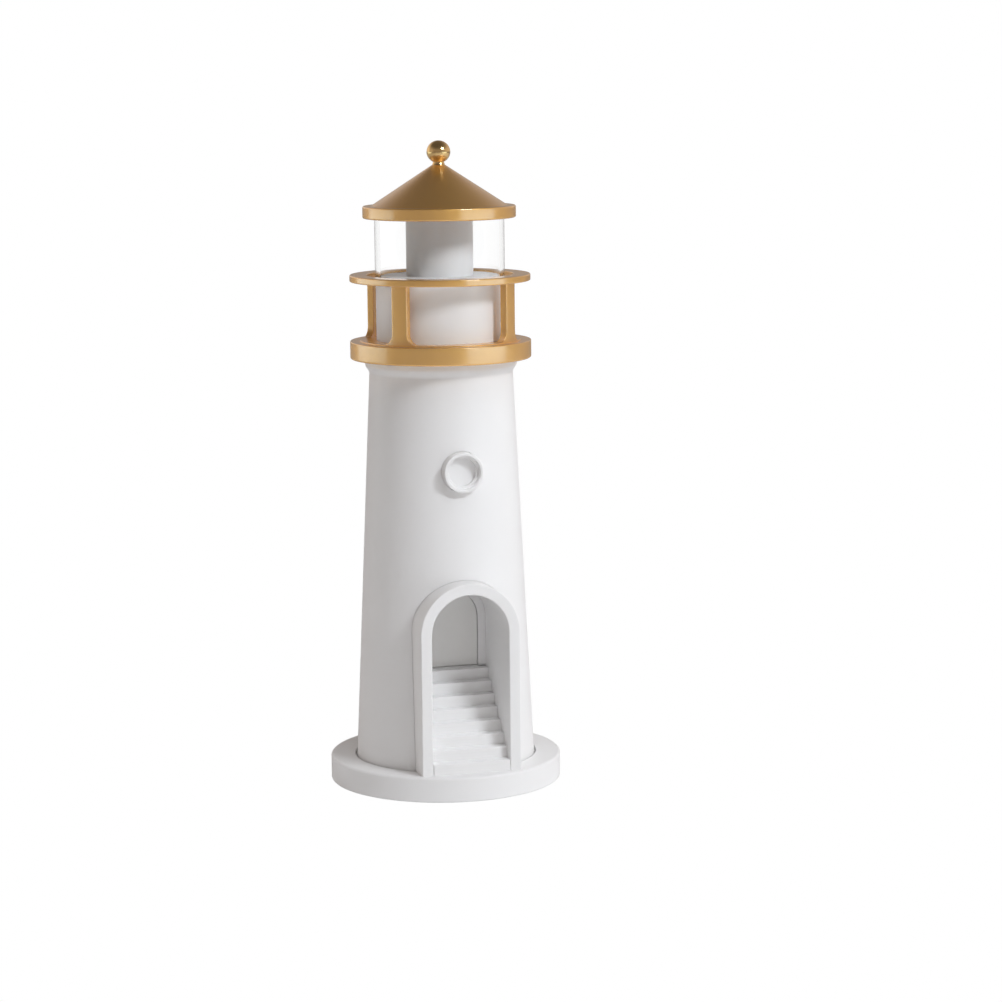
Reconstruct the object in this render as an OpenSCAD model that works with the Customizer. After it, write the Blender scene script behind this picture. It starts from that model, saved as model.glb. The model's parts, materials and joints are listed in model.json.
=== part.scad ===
// Lighthouse table lamp: a tapered tower with a lit stair behind its doorway, and a gallery that
// carries a lantern, which turns by hand and holds a small picture projector.
// Millimetres. The origin is the middle of the underside, +Z is up, and the doorway faces -Y.

/* [Base] */
// Radius of the round base
base_r = 43.8; // [42:0.1:48]
// Height of the base's top face above the table
base_top = 9.9; // [9.5:0.1:12]
// Rounding of the base's upper edge
base_edge_r = 1.0; // [0.5:0.1:1.4]
// Rounding of the base's lower edge
base_heel_r = 0.6; // [0.3:0.1:1]
// Wall of the base's skirt
base_skirt_t = 2.0; // [1.6:0.1:3]
// How far the foot pad stands out below the base
pad_proud = 0.5; // [0.3:0.1:0.8]
// Thickness of the foot pad
pad_t = 1.0; // [0.9:0.1:1.3]
// How far the foot pad's ring lies inside the base's edge
pad_inset = 3.4; // [3:0.1:4]
// Width of the foot pad's ring
pad_w = 7.8; // [7:0.1:10]
// Thickness of the bottom cover
cover_t = 2.6; // [2.4:0.1:3]
// Depth of the socket that the tower stands in
socket_depth = 1.6; // [1.2:0.1:2]
// Gap round the tower's foot in its socket
socket_gap = 0.7; // [0.4:0.1:1]
// Thickness of the base under the socket
socket_floor = 2.0; // [1.6:0.1:2.4]

/* [Tower] */
// Outer radius of the tower at the base's top face
tower_foot_r = 33.82; // [33:0.01:34.5]
// Outer radius of the tower just under its flared lip
tower_neck_r = 26.96; // [26.4:0.01:28]
// Height of the tower's top, where the gallery deck sits
deck_z = 161.1; // [150:0.1:175]
// Wall of the tower's shell
tower_wall = 2.4; // [2:0.1:2.8]
// Height of the flare under the tower's lip
flare_h = 3.4; // [2:0.1:4.5]
// How far the flare reaches out
flare_w = 1.5; // [0.8:0.1:2.2]
// Height of the lip's plain rim, over the flare
lip_h = 2.0; // [1:0.1:3]
// Thickness of the tower's inner top flange
top_flange_t = 2.7; // [2:0.1:3.5]

/* [Doorway] */
// Half the width of the door surround
door_half_w = 19.0; // [18:0.1:19.5]
// Width of the surround's front face
door_frame_w = 4.3; // [3.5:0.1:5]
// Height of the arch's centre above the base's top face
arch_rise = 52.3; // [48:0.1:60]
// Least distance from the surround's corners to the base's rounded edge
door_margin = 0.15; // [0.1:0.05:1]
// Rounding of the surround's front edges
door_edge_r = 0.5; // [0.3:0.1:0.8]
// Distance from the tower's axis to the face of the alcove's back wall
alcove_axis_gap = 5.68; // [4.5:0.01:8]
// Wall of the alcove
liner_t = 2.0; // [1.6:0.1:2.2]
// Thickness of the alcove's back wall
alcove_back_t = 1.6; // [1.2:0.1:2]
// Number of steps in the stair
stair_count = 8; // [6:1:9]
// Height of one step
riser_h = 4.16; // [3.8:0.01:4.4]
// Thickness of the stair below its inner corners
stair_wall = 1.8; // [1.4:0.1:2.2]
// Half the width of the lit panel at the head of the stair
light_half_w = 11.5; // [10.5:0.1:12]
// Gap round the lit panel
light_gap = 0.2; // [0.1:0.05:0.3]
// How far the lit panel's face lies behind the wall's face
light_recess = 0.4; // [0.2:0.1:0.6]

/* [Porthole button] */
// Height of the porthole's centre
porthole_z = 121.5; // [112:0.1:126]
// Outer radius of the porthole's ring
ring_r = 7.55; // [7.2:0.05:7.9]
// Wall of the ring's mouth
ring_wall = 1.35; // [1.1:0.05:1.5]
// How far the ring stands out from the tower
ring_proud = 3.0; // [2.5:0.1:4]
// Depth of the ring's mouth before its inner rim
ring_mouth = 2.0; // [1.6:0.1:2.4]
// Thickness of the ring's inner rim
ring_rim_t = 1.8; // [1.4:0.1:2.2]
// Bore of the ring's inner rim
ring_rim_r = 5.25; // [5:0.05:5.5]
// Travel of the button
button_travel = 0.6; // [0.4:0.1:0.8]

/* [Gallery] */
// How far the gallery deck reaches beyond the railing's top ring
deck_lip = 0.11; // [0:0.01:1]
// Thickness of the gallery deck
deck_t = 6.7; // [6.2:0.1:8]
// Chamfer of the deck's lower edge
deck_chamfer = 0.7; // [0.4:0.1:1]
// Height of the railing from the deck to its top face
rail_h = 24.7; // [22:0.1:26]
// Gap between the lantern's tube and the railing's top ring
rail_ring_gap = 3.15; // [2.5:0.05:3.3]
// Width of the railing's top ring
rail_ring_w = 6.45; // [5.5:0.05:7]
// Thickness of the railing's top ring
rail_ring_t = 2.54; // [2:0.01:3]
// How far the uprights' inner faces lie outside the top ring's inner edge
rail_post_inset = 0.2; // [0.1:0.1:1]
// Thickness of the railing's uprights
rail_post_t = 2.7; // [2.2:0.1:2.8]
// Width of the railing's uprights
rail_post_w = 6.5; // [5:0.1:8]
// Rounding where the uprights meet the foot
rail_fillet_r = 4.0; // [2:0.1:5]
// Thickness of the railing's foot ring
rail_foot_t = 0.4; // [0.3:0.1:1.6]
// How far the drum lies inside the lantern's tube
drum_inset = 0.25; // [0:0.05:0.5]
// Height of the drum
drum_h = 22.9; // [20:0.1:24]
// Wall of the drum
drum_wall = 2.0; // [1.6:0.1:2.4]
// Thickness of the drum's top plate
drum_top_t = 3.0; // [2.8:0.1:3.4]

/* [Lantern] */
// Outer radius of the lantern's clear tube
tube_r = 24.25; // [23:0.05:26]
// Wall of the clear tube
tube_wall = 1.8; // [1.5:0.1:2.2]
// Height of the clear tube, with the part that sits in the roof
tube_h = 23.5; // [21:0.1:26]
// Depth of the tube's seat in the roof
tube_seat = 1.6; // [1.2:0.1:2]
// Outer radius of the white projector barrel
barrel_r = 12.54; // [12.3:0.01:13.4]
// Wall of the projector barrel
barrel_wall = 1.5; // [1.2:0.1:1.6]
// Radius of the turntable's hub
hub_r = 7.0; // [6.6:0.1:8]
// How far the lantern turns each way
head_turn_deg = 165; // [90:5:165]
// Outer radius of the projector's lens tube
lens_tube_r = 7.2; // [7:0.05:7.4]
// Radius of the projector's lens
lens_r = 6.1; // [5.9:0.05:6.2]

/* [Roof] */
// How far the roof's rim reaches beyond the lantern's tube
cap_reach = 4.36; // [3.5:0.01:6]
// Height of the roof's rim
cap_rim_h = 4.6; // [4:0.1:6]
// Rounding of the rim's edges
cap_edge_r = 0.6; // [0.3:0.1:1]
// Width of the flat ledge round the foot of the cone
cap_ledge_w = 3.13; // [2:0.01:4]
// Height of the roof's cone
cone_h = 14.9; // [12:0.1:20]
// Radius of the cone's flat tip
tip_r = 2.56; // [2.4:0.01:3]
// Wall of the roof
cap_wall = 2.0; // [1.6:0.1:2.4]
// Radius of the ball on the roof
ball_r = 4.43; // [4:0.01:5]
// Height of the slightly flattened ball
ball_h = 8.4; // [7.6:0.1:10]
// Radius of the neck under the ball
neck_r = 2.1; // [1.8:0.1:2.4]
// Visible height of the neck under the ball
neck_h = 0.7; // [0.4:0.1:2]

/* [Hidden] */
$fn = 96;
arc_steps = 6;
overrun = 1;

// Colours
white_plastic = [0.93, 0.93, 0.92];
warm_white = [0.95, 0.93, 0.88];
satin_gold = [0.80, 0.63, 0.38];
bright_gold = [0.84, 0.66, 0.36];
clear_plastic = [0.90, 0.95, 0.97, 0.3];
dark_rubber = [0.16, 0.16, 0.17];
steel_grey = [0.62, 0.63, 0.65];
dark_steel = [0.35, 0.36, 0.38];
board_green = [0.10, 0.36, 0.22];
cell_blue = [0.20, 0.42, 0.62];
nickel = [0.75, 0.74, 0.70];
black_plastic = [0.10, 0.10, 0.11];

// Clearances that the pieces share
seat_gap = 0.1;
run_gap = 0.05;
slide_gap = 0.3;
thread_gap = 0.1;

// Levels of the base
skirt_z = pad_proud;
cover_top_z = skirt_z + cover_t;
socket_z = base_top - socket_depth;
cavity_top_z = socket_z - socket_floor;
cavity_r = base_r - base_skirt_t;
pad_r = base_r - pad_inset;
weight_gap = 0.2;

// Screws: shank radius, head radius and head height of the three sizes used
big_screw_r = 1.5;
big_head_r = 2.7;
big_head_h = 1.8;
mid_screw_r = 1.25;
mid_head_r = 2.2;
mid_head_h = 1.2;
small_screw_r = 0.8;
small_head_r = 1.4;
small_head_h = 0.9;

// Cover screws and the bosses that take them
cover_boss_r = 2.6;
cover_boss_gap = 2.3;
cover_screw_pcd_r = cavity_r - cover_boss_r - cover_boss_gap;
cover_screw_web = 0.8;
cover_screw_l = 4.6;
cover_screw_angles = [60, 180, 300];

// Tower: levels and radii
neck_z = deck_z - lip_h - flare_h;
function tower_r(z) = tower_foot_r + (tower_neck_r - tower_foot_r) * (z - base_top) / (neck_z - base_top);
function tower_in(z) = tower_r(z) - tower_wall;
foot_edge_r = 1.0;
socket_r = tower_r(socket_z) + socket_gap;

// Tower screws and their bosses
tower_boss_r = 3.2;
tower_boss_sink = 0.6;
tower_boss_h = 13;
tower_screw_l = 11;
tower_boss_pcd_r = tower_in(socket_z) - tower_boss_r + tower_boss_sink;
tower_screw_angles = [32, 148, 208, 332];
weight_rim = 1.9;
weight_r = tower_boss_pcd_r + big_head_r + slide_gap + weight_rim;

// Doorway: the face plane, the jambs and the planes behind
door_in_w = door_half_w - door_frame_w;
door_face = sqrt(pow(base_r - base_edge_r - door_margin, 2) - pow(door_half_w, 2));
arch_z = base_top + arch_rise;
alcove_depth = door_face - alcove_axis_gap;
door_lip = 0.9;
door_block_back = door_face - sqrt(pow(tower_in(arch_z), 2) - pow(door_half_w, 2)) + door_lip;
alcove_wall_y = -alcove_axis_gap;
alcove_back_y = alcove_wall_y + alcove_back_t;

// Stair
tread_l = alcove_depth / stair_count;
stair_half_w = door_in_w - seat_gap;
stair_drop = stair_wall * sqrt(1 + pow(riser_h / tread_l, 2));
stair_top_z = base_top + stair_count * riser_h;
stair_rib_t = 1.6;
stair_rib_shares = [-0.9, 0, 0.9];

// Lit panel at the head of the stair
diffuser_flange_w = 1.2;
diffuser_flange_t = 1.0;
light_foot_z = stair_top_z + light_gap;

// Chassis that stands on the base behind the alcove
chassis_t = 1.4;
chassis_half_w = 14;
chassis_gap = 6.4;
chassis_y = alcove_back_y + chassis_gap;
chassis_back_y = chassis_y + chassis_t;
chassis_post_h = 4;
chassis_post_r = 3;
chassis_foot_t = 2;
chassis_foot_l = 5.8;
chassis_rib_w = 1.4;
chassis_rib_l = 4;
chassis_screw_x = chassis_half_w - chassis_rib_w - mid_head_r - slide_gap;
chassis_foot_z = socket_z + chassis_post_h;
chassis_screw_y = chassis_back_y + chassis_foot_l / 2;
chassis_screw_l = 6.6;
standoff_r = 1.8;

// Battery cell and the chassis arms that hold it
cell_r = 9.2;
cell_l = 65;
cell_gap = 0.3;
cell_rise = 24;
cell_y = chassis_back_y + cell_gap + cell_r;
cell_z = socket_z + cell_rise;
cell_nub_r = 3.2;
cell_nub_h = 1.2;
contact_t = 0.4;
contact_r = 6;
arm_t = 1.4;
arm_h = 8;
arm_wrap_deg = 210;
arm_place_shares = [0.12, 0.76];
end_stop_t = 1.6;
end_stop_half_w = 7;

// Stair light board on the chassis's front
stair_board_half_w = 11;
stair_board_h = 24;
stair_board_t = 1.2;
stair_board_rise = 3;
stair_board_standoff = 0.8;
stair_board_z = stair_top_z + stair_board_rise;
stair_board_y = chassis_y - stair_board_standoff - stair_board_t;
stair_led_w = 3.0;
stair_led_t = 0.8;
stair_led_shares = [0.2, 0.5, 0.8];
stair_screw_inset = 2.2;
stair_screw_l = stair_board_t + stair_board_standoff + chassis_t / 2;

// Main board on the chassis's front, over the alcove
main_board_half_w = 13;
main_board_h = 28;
main_board_t = 1.6;
main_board_gap = 5;
main_board_standoff = 1.6;
main_board_z = arch_z + door_half_w + main_board_gap;
main_board_y = chassis_y - main_board_standoff - main_board_t;
main_screw_inset = 2.6;
main_screw_l = main_board_t + main_board_standoff + chassis_t / 2;
chassis_top_z = main_board_z + main_board_h;
chip_t = 1.4;
// Places and sizes of the main board's parts, as shares of its half width, height and part thickness:
// middle across, middle up, half width, height, thickness
main_part_shares = [[0, 0.62, 0.28, 0.24, 1.0], [0, 0.3, 0.2, 0.2, 2.4],
                    [-0.55, 0.3, 0.16, 0.16, 1.6], [0.55, 0.3, 0.16, 0.16, 1.6],
                    [-0.55, 0.72, 0.18, 0.12, 2.6], [0.55, 0.72, 0.18, 0.12, 2.6]];

// Charge board behind the chassis and its socket in the tower's rear wall
charge_board_half_w = 8.5;
charge_board_l = 16;
charge_board_t = 1.6;
charge_board_wall_gap = 0.8;
charge_post_h = 9.3;
charge_post_r = 2.2;
charge_post_x = 6.3;
charge_post_inset = 2.6;
charge_screw_l = 4.6;
charge_board_z = socket_z + charge_post_h;
charge_board_in_r = tower_in(charge_board_z + charge_board_t);
charge_board_back_y = sqrt(pow(charge_board_in_r, 2) - pow(charge_board_half_w, 2)) - charge_board_wall_gap;
charge_board_front_y = charge_board_back_y - charge_board_l;
socket_w = 8.94;
socket_h = 3.26;
socket_l = 7.35;
socket_shell_t = 0.3;
tongue_w = 6.6;
tongue_t = 0.7;
tongue_inset = 0.8;
socket_floor_share = 0.2;
inlet_gap = 0.3;
inlet_z = charge_board_z + charge_board_t + socket_h / 2;
inlet_face_y = tower_r(inlet_z) - 2 * inlet_gap;

// Porthole: planes along -Y from the axis
ring_face = tower_r(porthole_z) + ring_proud;
button_face = ring_face - ring_mouth - ring_rim_t;
ring_skirt = 4.9;
ring_back = button_face - ring_skirt;
ring_edge_r = 0.4;
button_r = ring_r - ring_wall - slide_gap;
button_t = 1.5;
button_skirt = 3.2;
button_skirt_t = 1.0;
stem_r = 1.6;
plunger_r = 1.7;
plunger_gap = 0.1;
plunger_sink = 1.2;
switch_w = 6.2;
switch_t = 3.5;
stem_l = 2.7;
switch_front = button_face - button_t - stem_l - button_travel - plunger_gap;
button_board_front = switch_front - switch_t;
button_board_t = 1.2;
button_board_half_w = 10.5;
button_board_half_h = 8;
button_post_r = 1.8;
button_post_x = 8.4;
button_post_z = 5.9;
button_screw_l = 4.2;

// Gallery: radii, all from the lantern's tube, and levels
drum_r = tube_r - drum_inset;
rail_ring_in_r = tube_r + rail_ring_gap;
rail_ring_r = rail_ring_in_r + rail_ring_w;
rail_post_in_r = rail_ring_in_r + rail_post_inset;
rail_post_r = rail_post_in_r + rail_post_t;
deck_r = rail_ring_r + deck_lip;
deck_top_z = deck_z + deck_t;
rail_top_z = deck_top_z + rail_h;
rail_foot_z = deck_top_z + rail_foot_t;
rail_ring_z = rail_top_z - rail_ring_t;
rail_ring_edge = 0.3;
rail_foot_gap = 0.2;
rail_post_angles = [45, 135, 225, 315];
deck_spigot_l = 2.2;
deck_top_edge = 0.3;
drum_edge = 0.3;

// Deck and drum screws
top_flange_r = 16;
deck_bore_r = 12;
deck_screw_pcd_r = 20.5;
deck_screw_angles = [30, 150, 270];
deck_screw_l = 7.4;
drum_boss_r = 2.9;
drum_boss_sink = 0.5;
drum_boss_h = 11;
drum_screw_l = 12;
drum_screw_web = 3.4;
drum_screw_angles = [90, 210, 330];
drum_boss_pcd_r = drum_r - drum_wall - drum_boss_r + drum_boss_sink;

// Drum top and the turning joint
drum_top_z = deck_top_z + drum_h;
turn_gap = 0.2;
stop_pin_r = 1.2;
stop_pin_l = 1.1;
stop_groove_d = 1.5;
stop_inset = 6.4;
stop_pcd_r = drum_r - stop_inset;
stop_half_deg = head_turn_deg + asin((stop_pin_r + slide_gap) / stop_pcd_r);
turn_flange_t = 0.6;
turn_floor_t = 0.6;
turn_z = drum_top_z + turn_gap;
turn_top_z = turn_z + turn_flange_t;
turn_floor_z = turn_top_z + turn_floor_t;
wire_bore_r = 4.6;
washer_t = 0.8;
washer_gap = 0.1;
washer_r = 10.5;
clip_t = 0.8;
clip_r = 9.6;
clip_groove_d = 0.7;
clip_mouth_deg = 70;
hub_tail = 1.1;
washer_z = drum_top_z - drum_top_t - washer_gap - washer_t;
clip_z = washer_z - clip_t;
hub_end_z = clip_z - hub_tail;

// Lantern: levels and the projector's axis
tube_in_r = tube_r - tube_wall;
tube_top_z = turn_top_z + tube_h;
cap_z = tube_top_z - tube_seat;
barrel_in_r = barrel_r - barrel_wall;
barrel_sink = 1.0;
barrel_top_z = cap_z + barrel_sink;
barrel_spigot_h = 2;
barrel_spigot_t = 1.4;
lid_t = 1.5;
lid_plug_h = 2;
lid_boss_r = 3.4;
lens_z = (turn_floor_z + cap_z) / 2;

// Planes of the projector along +Y from the lantern's axis
lens_tube_back_y = -4.0;
lens_flange_t = 1.5;
lens_flange_r = 8.6;
lens_tube_front_y = 14.4;
lens_rim_t = 1.6;
lens_dome_r = 5.2;
lens_front_sag = 1.5;
lens_back_sag = 2.2;
lens_bore_r = lens_dome_r + run_gap;
bezel_r = 8.2;
bezel_l = 2.1;
bezel_lip_t = 0.6;
slide_t = 0.5;
slide_seat_d = 5.0;
condenser_sag = 2.4;
condenser_rim_t = 0.6;
led_board_t = 1.2;
led_w = 3.2;
led_t = 0.9;
sink_base_t = 1.6;
sink_fin_l = 3.4;
sink_fin_t = 1.0;
sink_half_h = 8;
sink_fin_pitch = 2.6;
sink_fin_first_x = 2.2;
sink_fin_pairs = 3;
sink_gap = 0.3;
projector_screw_off = 7.4;
projector_screw_l = 4.0;
pillar_half_w = 3.5;
pillar_front_y = 8.6;
pillar_back_y = 5.6;

// Roof: levels
cap_rim_z = cap_z + cap_rim_h;
cap_r = tube_r + cap_reach;
cone_r = cap_r - cap_ledge_w;
tip_z = cap_rim_z + cone_h;
ball_z = tip_z + neck_h + ball_h / 2;
cone_slope = cone_h / (cone_r - tip_r);
cap_drop = cap_wall * sqrt(1 + pow(cone_slope, 2));
cap_in_r = tube_in_r + 2 * seat_gap;
cap_tip_in_r = 4.2;
stud_r = 1.25;
stud_l = 12;
function cone_z(r) = cap_rim_z + (cone_r - r) * cone_slope;
cap_tip_in_z = cone_z(cap_tip_in_r) - cap_drop;

// Points of an arc round c, from angle a0 to a1
function arc(c, r, a0, a1) =
    [for (i = [0 : arc_steps])
        let (a = a0 + (a1 - a0) * i / arc_steps)
        [c[0] + r * cos(a), c[1] + r * sin(a)]];

// Copies its children to each angle round the tower's axis, at a radius
module ring_of(angles, r) {
    for (a = angles)
        rotate([0, 0, a]) translate([r, 0, 0]) children();
}

// A round tube that stands on z = 0
module pipe(outer, inner, h) {
    difference() {
        cylinder(r = outer, h = h);
        translate([0, 0, -overrun]) cylinder(r = inner, h = h + 2 * overrun);
    }
}

// A pan-head screw: the head hangs below z = 0 and the shank rises above it
module screw(shank_r, shank_l, head_r, head_h) {
    translate([0, 0, -head_h]) cylinder(r = head_r, h = head_h);
    cylinder(r = shank_r, h = shank_l);
}

// Turns children so that their +Z points along -Y, out of the door side
module face_front() {
    rotate([90, 0, 0]) children();
}

// Turns children so that their +Z points along +Y, out of the rear
module face_rear() {
    rotate([-90, 0, 0]) children();
}

// A slab with the doorway's arched outline, from depth y0 to y1
module arch_slab(half_w, foot_z, y0, y1) {
    translate([-half_w, y0, foot_z]) cube([2 * half_w, y1 - y0, arch_z - foot_z]);
    translate([0, y1, arch_z]) face_front() cylinder(r = half_w, h = y1 - y0);
}

// Sweeps a section up one jamb, over the arch and down the other jamb.
// The section's x is the distance from the arch's middle and its y is the depth behind the face.
module arch_sweep() {
    translate([0, -door_face, base_top]) {
        for (side = [0, 1])
            mirror([side, 0, 0]) linear_extrude(height = arch_rise) children();
        translate([0, 0, arch_rise])
            mirror([0, 1, 0]) rotate([90, 0, 0]) rotate_extrude(angle = 180) children();
    }
}

// An outline with round ends, w wide and h high, for the charge socket and its slot
module round_slot(w, h) {
    square([w - h, h], center = true);
    for (side = [-1, 1])
        translate([side * (w - h) / 2, 0]) circle(r = h / 2);
}

// Round base: skirt, top with the tower's socket, bosses for the cover and posts for the boards
module base_disc() {
    color(white_plastic) difference() {
        union() {
            difference() {
                rotate_extrude() polygon(concat(
                    [[0, skirt_z]],
                    arc([base_r - base_heel_r, skirt_z + base_heel_r], base_heel_r, -90, 0),
                    arc([base_r - base_edge_r, base_top - base_edge_r], base_edge_r, 0, 90),
                    [[0, base_top]]));
                translate([0, 0, socket_z]) cylinder(r = socket_r, h = socket_depth + overrun);
                translate([0, 0, skirt_z - overrun])
                    cylinder(r = cavity_r, h = cavity_top_z - skirt_z + overrun);
            }
            ring_of(cover_screw_angles, cover_screw_pcd_r) translate([0, 0, cover_top_z])
                cylinder(r = cover_boss_r, h = cavity_top_z + socket_floor / 2 - cover_top_z);
            for (side = [-1, 1])
                translate([side * chassis_screw_x, chassis_screw_y, socket_z - socket_floor / 2])
                    cylinder(r = chassis_post_r, h = chassis_post_h + socket_floor / 2);
            charge_post_places() translate([0, 0, -charge_post_h - socket_floor / 2])
                cylinder(r = charge_post_r, h = charge_post_h + socket_floor / 2);
        }
        ring_of(cover_screw_angles, cover_screw_pcd_r) translate([0, 0, cover_top_z - overrun])
            cylinder(r = mid_screw_r + thread_gap, h = cover_screw_l - cover_screw_web + overrun + seat_gap);
        ring_of(tower_screw_angles, tower_boss_pcd_r) translate([0, 0, cavity_top_z - overrun])
            cylinder(r = big_screw_r + 2 * thread_gap, h = socket_floor + 2 * overrun);
        for (side = [-1, 1])
            translate([side * chassis_screw_x, chassis_screw_y,
                       chassis_foot_z + chassis_foot_t - chassis_screw_l - seat_gap])
                cylinder(r = mid_screw_r + thread_gap, h = chassis_screw_l + overrun);
        charge_post_places() translate([0, 0, charge_board_t - charge_screw_l - seat_gap])
            cylinder(r = small_screw_r + thread_gap, h = charge_screw_l + overrun);
    }
}

// Steel disc that lowers the centre of gravity, clear of the tower screws' heads and the cover's bosses
module base_weight() {
    color(dark_steel) translate([0, 0, cover_top_z]) difference() {
        cylinder(r = weight_r, h = cavity_top_z - weight_gap - cover_top_z);
        ring_of(tower_screw_angles, tower_boss_pcd_r) translate([0, 0, -overrun])
            cylinder(r = big_head_r + slide_gap, h = cavity_top_z - cover_top_z + 2 * overrun);
        ring_of(cover_screw_angles, cover_screw_pcd_r) translate([0, 0, -overrun])
            cylinder(r = cover_boss_r + seat_gap, h = cavity_top_z - cover_top_z + 2 * overrun);
    }
}

// Cover under the base, with a seat for the foot pad and counterbores for its screws
module bottom_cover() {
    color(white_plastic) difference() {
        translate([0, 0, skirt_z]) cylinder(r = cavity_r - seat_gap, h = cover_t);
        translate([0, 0, skirt_z - overrun])
            pipe(pad_r + seat_gap, pad_r - pad_w - seat_gap, pad_t - pad_proud + overrun);
        ring_of(cover_screw_angles, cover_screw_pcd_r) {
            translate([0, 0, skirt_z - overrun])
                cylinder(r = mid_head_r + seat_gap, h = cover_t - cover_screw_web + overrun);
            translate([0, 0, skirt_z])
                cylinder(r = mid_screw_r + 2 * thread_gap, h = cover_t + overrun);
        }
    }
}

// Anti-slip ring that the lamp stands on
module foot_pad() {
    color(dark_rubber) pipe(pad_r, pad_r - pad_w, pad_t);
}

// Screws that hold the bottom cover
module cover_screws() {
    color(steel_grey) ring_of(cover_screw_angles, cover_screw_pcd_r)
        translate([0, 0, cover_top_z - cover_screw_web])
            screw(mid_screw_r, cover_screw_l, mid_head_r, mid_head_h);
}

// Screws that hold the tower on the base
module tower_screws() {
    color(steel_grey) ring_of(tower_screw_angles, tower_boss_pcd_r) translate([0, 0, cavity_top_z])
        screw(big_screw_r, tower_screw_l, big_head_r, big_head_h);
}

// Half section of the tower's shell: tapered wall, flared lip and inner top flange
module tower_section() {
    polygon(concat(
        [[tower_in(socket_z), socket_z]],
        arc([tower_r(socket_z) - foot_edge_r, socket_z + foot_edge_r], foot_edge_r, -90, 0),
        [for (i = [0 : arc_steps])
            [tower_neck_r + flare_w * (1 - cos(180 * i / arc_steps)) / 2, neck_z + flare_h * i / arc_steps]],
        [[tower_neck_r + flare_w, deck_z],
         [top_flange_r, deck_z],
         [top_flange_r, deck_z - top_flange_t],
         [tower_in(deck_z - top_flange_t), deck_z - top_flange_t]]));
}

// Tapered tower with the doorway's cut-out, the porthole, the inlet slot and the screw bosses
module tower_shell() {
    post_end = sqrt(pow(tower_r(porthole_z + button_post_z) - tower_wall / 2, 2) - pow(button_post_x, 2));
    color(white_plastic) difference() {
        union() {
            rotate_extrude() tower_section();
            ring_of(tower_screw_angles, tower_boss_pcd_r) translate([0, 0, socket_z + seat_gap])
                cylinder(r = tower_boss_r, h = tower_boss_h);
            button_post_places() cylinder(r = button_post_r, h = post_end - button_board_front);
        }
        arch_slab(door_half_w + seat_gap, base_top, -base_r, 0);
        translate([0, 0, porthole_z]) face_front() cylinder(r = ring_r + seat_gap, h = base_r);
        translate([0, 0, inlet_z]) face_rear() linear_extrude(height = base_r)
            round_slot(socket_w + 2 * inlet_gap, socket_h + 2 * inlet_gap);
        ring_of(tower_screw_angles, tower_boss_pcd_r) translate([0, 0, socket_z - overrun])
            cylinder(r = big_screw_r + thread_gap, h = tower_screw_l - socket_floor + overrun + seat_gap);
        ring_of(deck_screw_angles, deck_screw_pcd_r) translate([0, 0, deck_z - top_flange_t - overrun])
            cylinder(r = mid_screw_r + 2 * thread_gap, h = top_flange_t + 2 * overrun);
        button_post_places()
            cylinder(r = small_screw_r + thread_gap, h = button_screw_l - button_board_t + seat_gap);
    }
}

// Copies its children to the button board's four posts, pointing out of the door side
module button_post_places() {
    for (x = [-button_post_x, button_post_x], z = [-button_post_z, button_post_z])
        translate([x, -button_board_front, porthole_z + z]) face_front() children();
}

// Arched surround that stands out of the tower, with the alcove's walls behind it
module door_surround() {
    color(white_plastic) difference() {
        union() {
            arch_sweep() polygon(concat(
                arc([door_half_w - door_edge_r, door_edge_r], door_edge_r, -90, 0),
                [[door_half_w, door_block_back],
                 [door_in_w + liner_t, door_block_back],
                 [door_in_w + liner_t, alcove_depth + alcove_back_t],
                 [door_in_w, alcove_depth + alcove_back_t]],
                arc([door_in_w + door_edge_r, door_edge_r], door_edge_r, 180, 270)));
            arch_slab(door_in_w + liner_t / 2, base_top, alcove_wall_y, alcove_back_y);
        }
        arch_slab(light_half_w + light_gap, light_foot_z, alcove_wall_y - overrun, alcove_back_y + overrun);
    }
}

// Stair of thin treads and risers on three ribs
module stair_flight() {
    foot_w = stair_drop * tread_l / riser_h;
    steps = [for (i = [0 : stair_count - 1], k = [0, 1]) [i * tread_l, (i + k) * riser_h]];
    color(white_plastic) {
        stair_slice(0, 2 * stair_half_w) polygon(concat(
            steps,
            [[alcove_depth, stair_count * riser_h],
             [alcove_depth, stair_count * riser_h - stair_drop],
             [foot_w, 0]]));
        for (share = stair_rib_shares)
            stair_slice(share * stair_half_w, stair_rib_t) polygon(
                [[foot_w / 2, 0], [alcove_depth, 0], [alcove_depth, stair_count * riser_h - stair_drop / 2]]);
    }
}

// Extrudes a side outline of the stair across the alcove: w wide, with its middle at x
module stair_slice(x, w) {
    translate([x - w / 2, -door_face, base_top]) rotate([90, 0, 90])
        linear_extrude(height = w) children();
}

// Milky arched panel at the head of the stair, with a flange behind the wall
module stair_diffuser() {
    color(warm_white) {
        arch_slab(light_half_w, light_foot_z + light_gap, alcove_wall_y + light_recess,
                  alcove_back_y + diffuser_flange_t / 2);
        arch_slab(light_half_w + diffuser_flange_w, light_foot_z - diffuser_flange_w, alcove_back_y,
                  alcove_back_y + diffuser_flange_t);
    }
}

// Copies its children to the stair light board's screws, pointing to the rear
module stair_screw_places() {
    for (x = [-1, 1], z = [stair_screw_inset, stair_board_h - stair_screw_inset])
        translate([x * (stair_board_half_w - stair_screw_inset), stair_board_y, stair_board_z + z])
            face_rear() children();
}

// Small board with the lights behind the milky panel
module stair_light_board() {
    color(warm_white) {
        difference() {
            translate([-stair_board_half_w, stair_board_y, stair_board_z])
                cube([2 * stair_board_half_w, stair_board_t, stair_board_h]);
            stair_screw_places() translate([0, 0, -overrun])
                cylinder(r = small_screw_r + thread_gap, h = stair_board_t + 2 * overrun);
        }
        for (share = stair_led_shares)
            translate([-stair_led_w / 2, stair_board_y - stair_led_t,
                       stair_board_z + share * stair_board_h - stair_led_w / 2])
                cube([stair_led_w, stair_led_t + stair_board_t / 2, stair_led_w]);
    }
}

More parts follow.
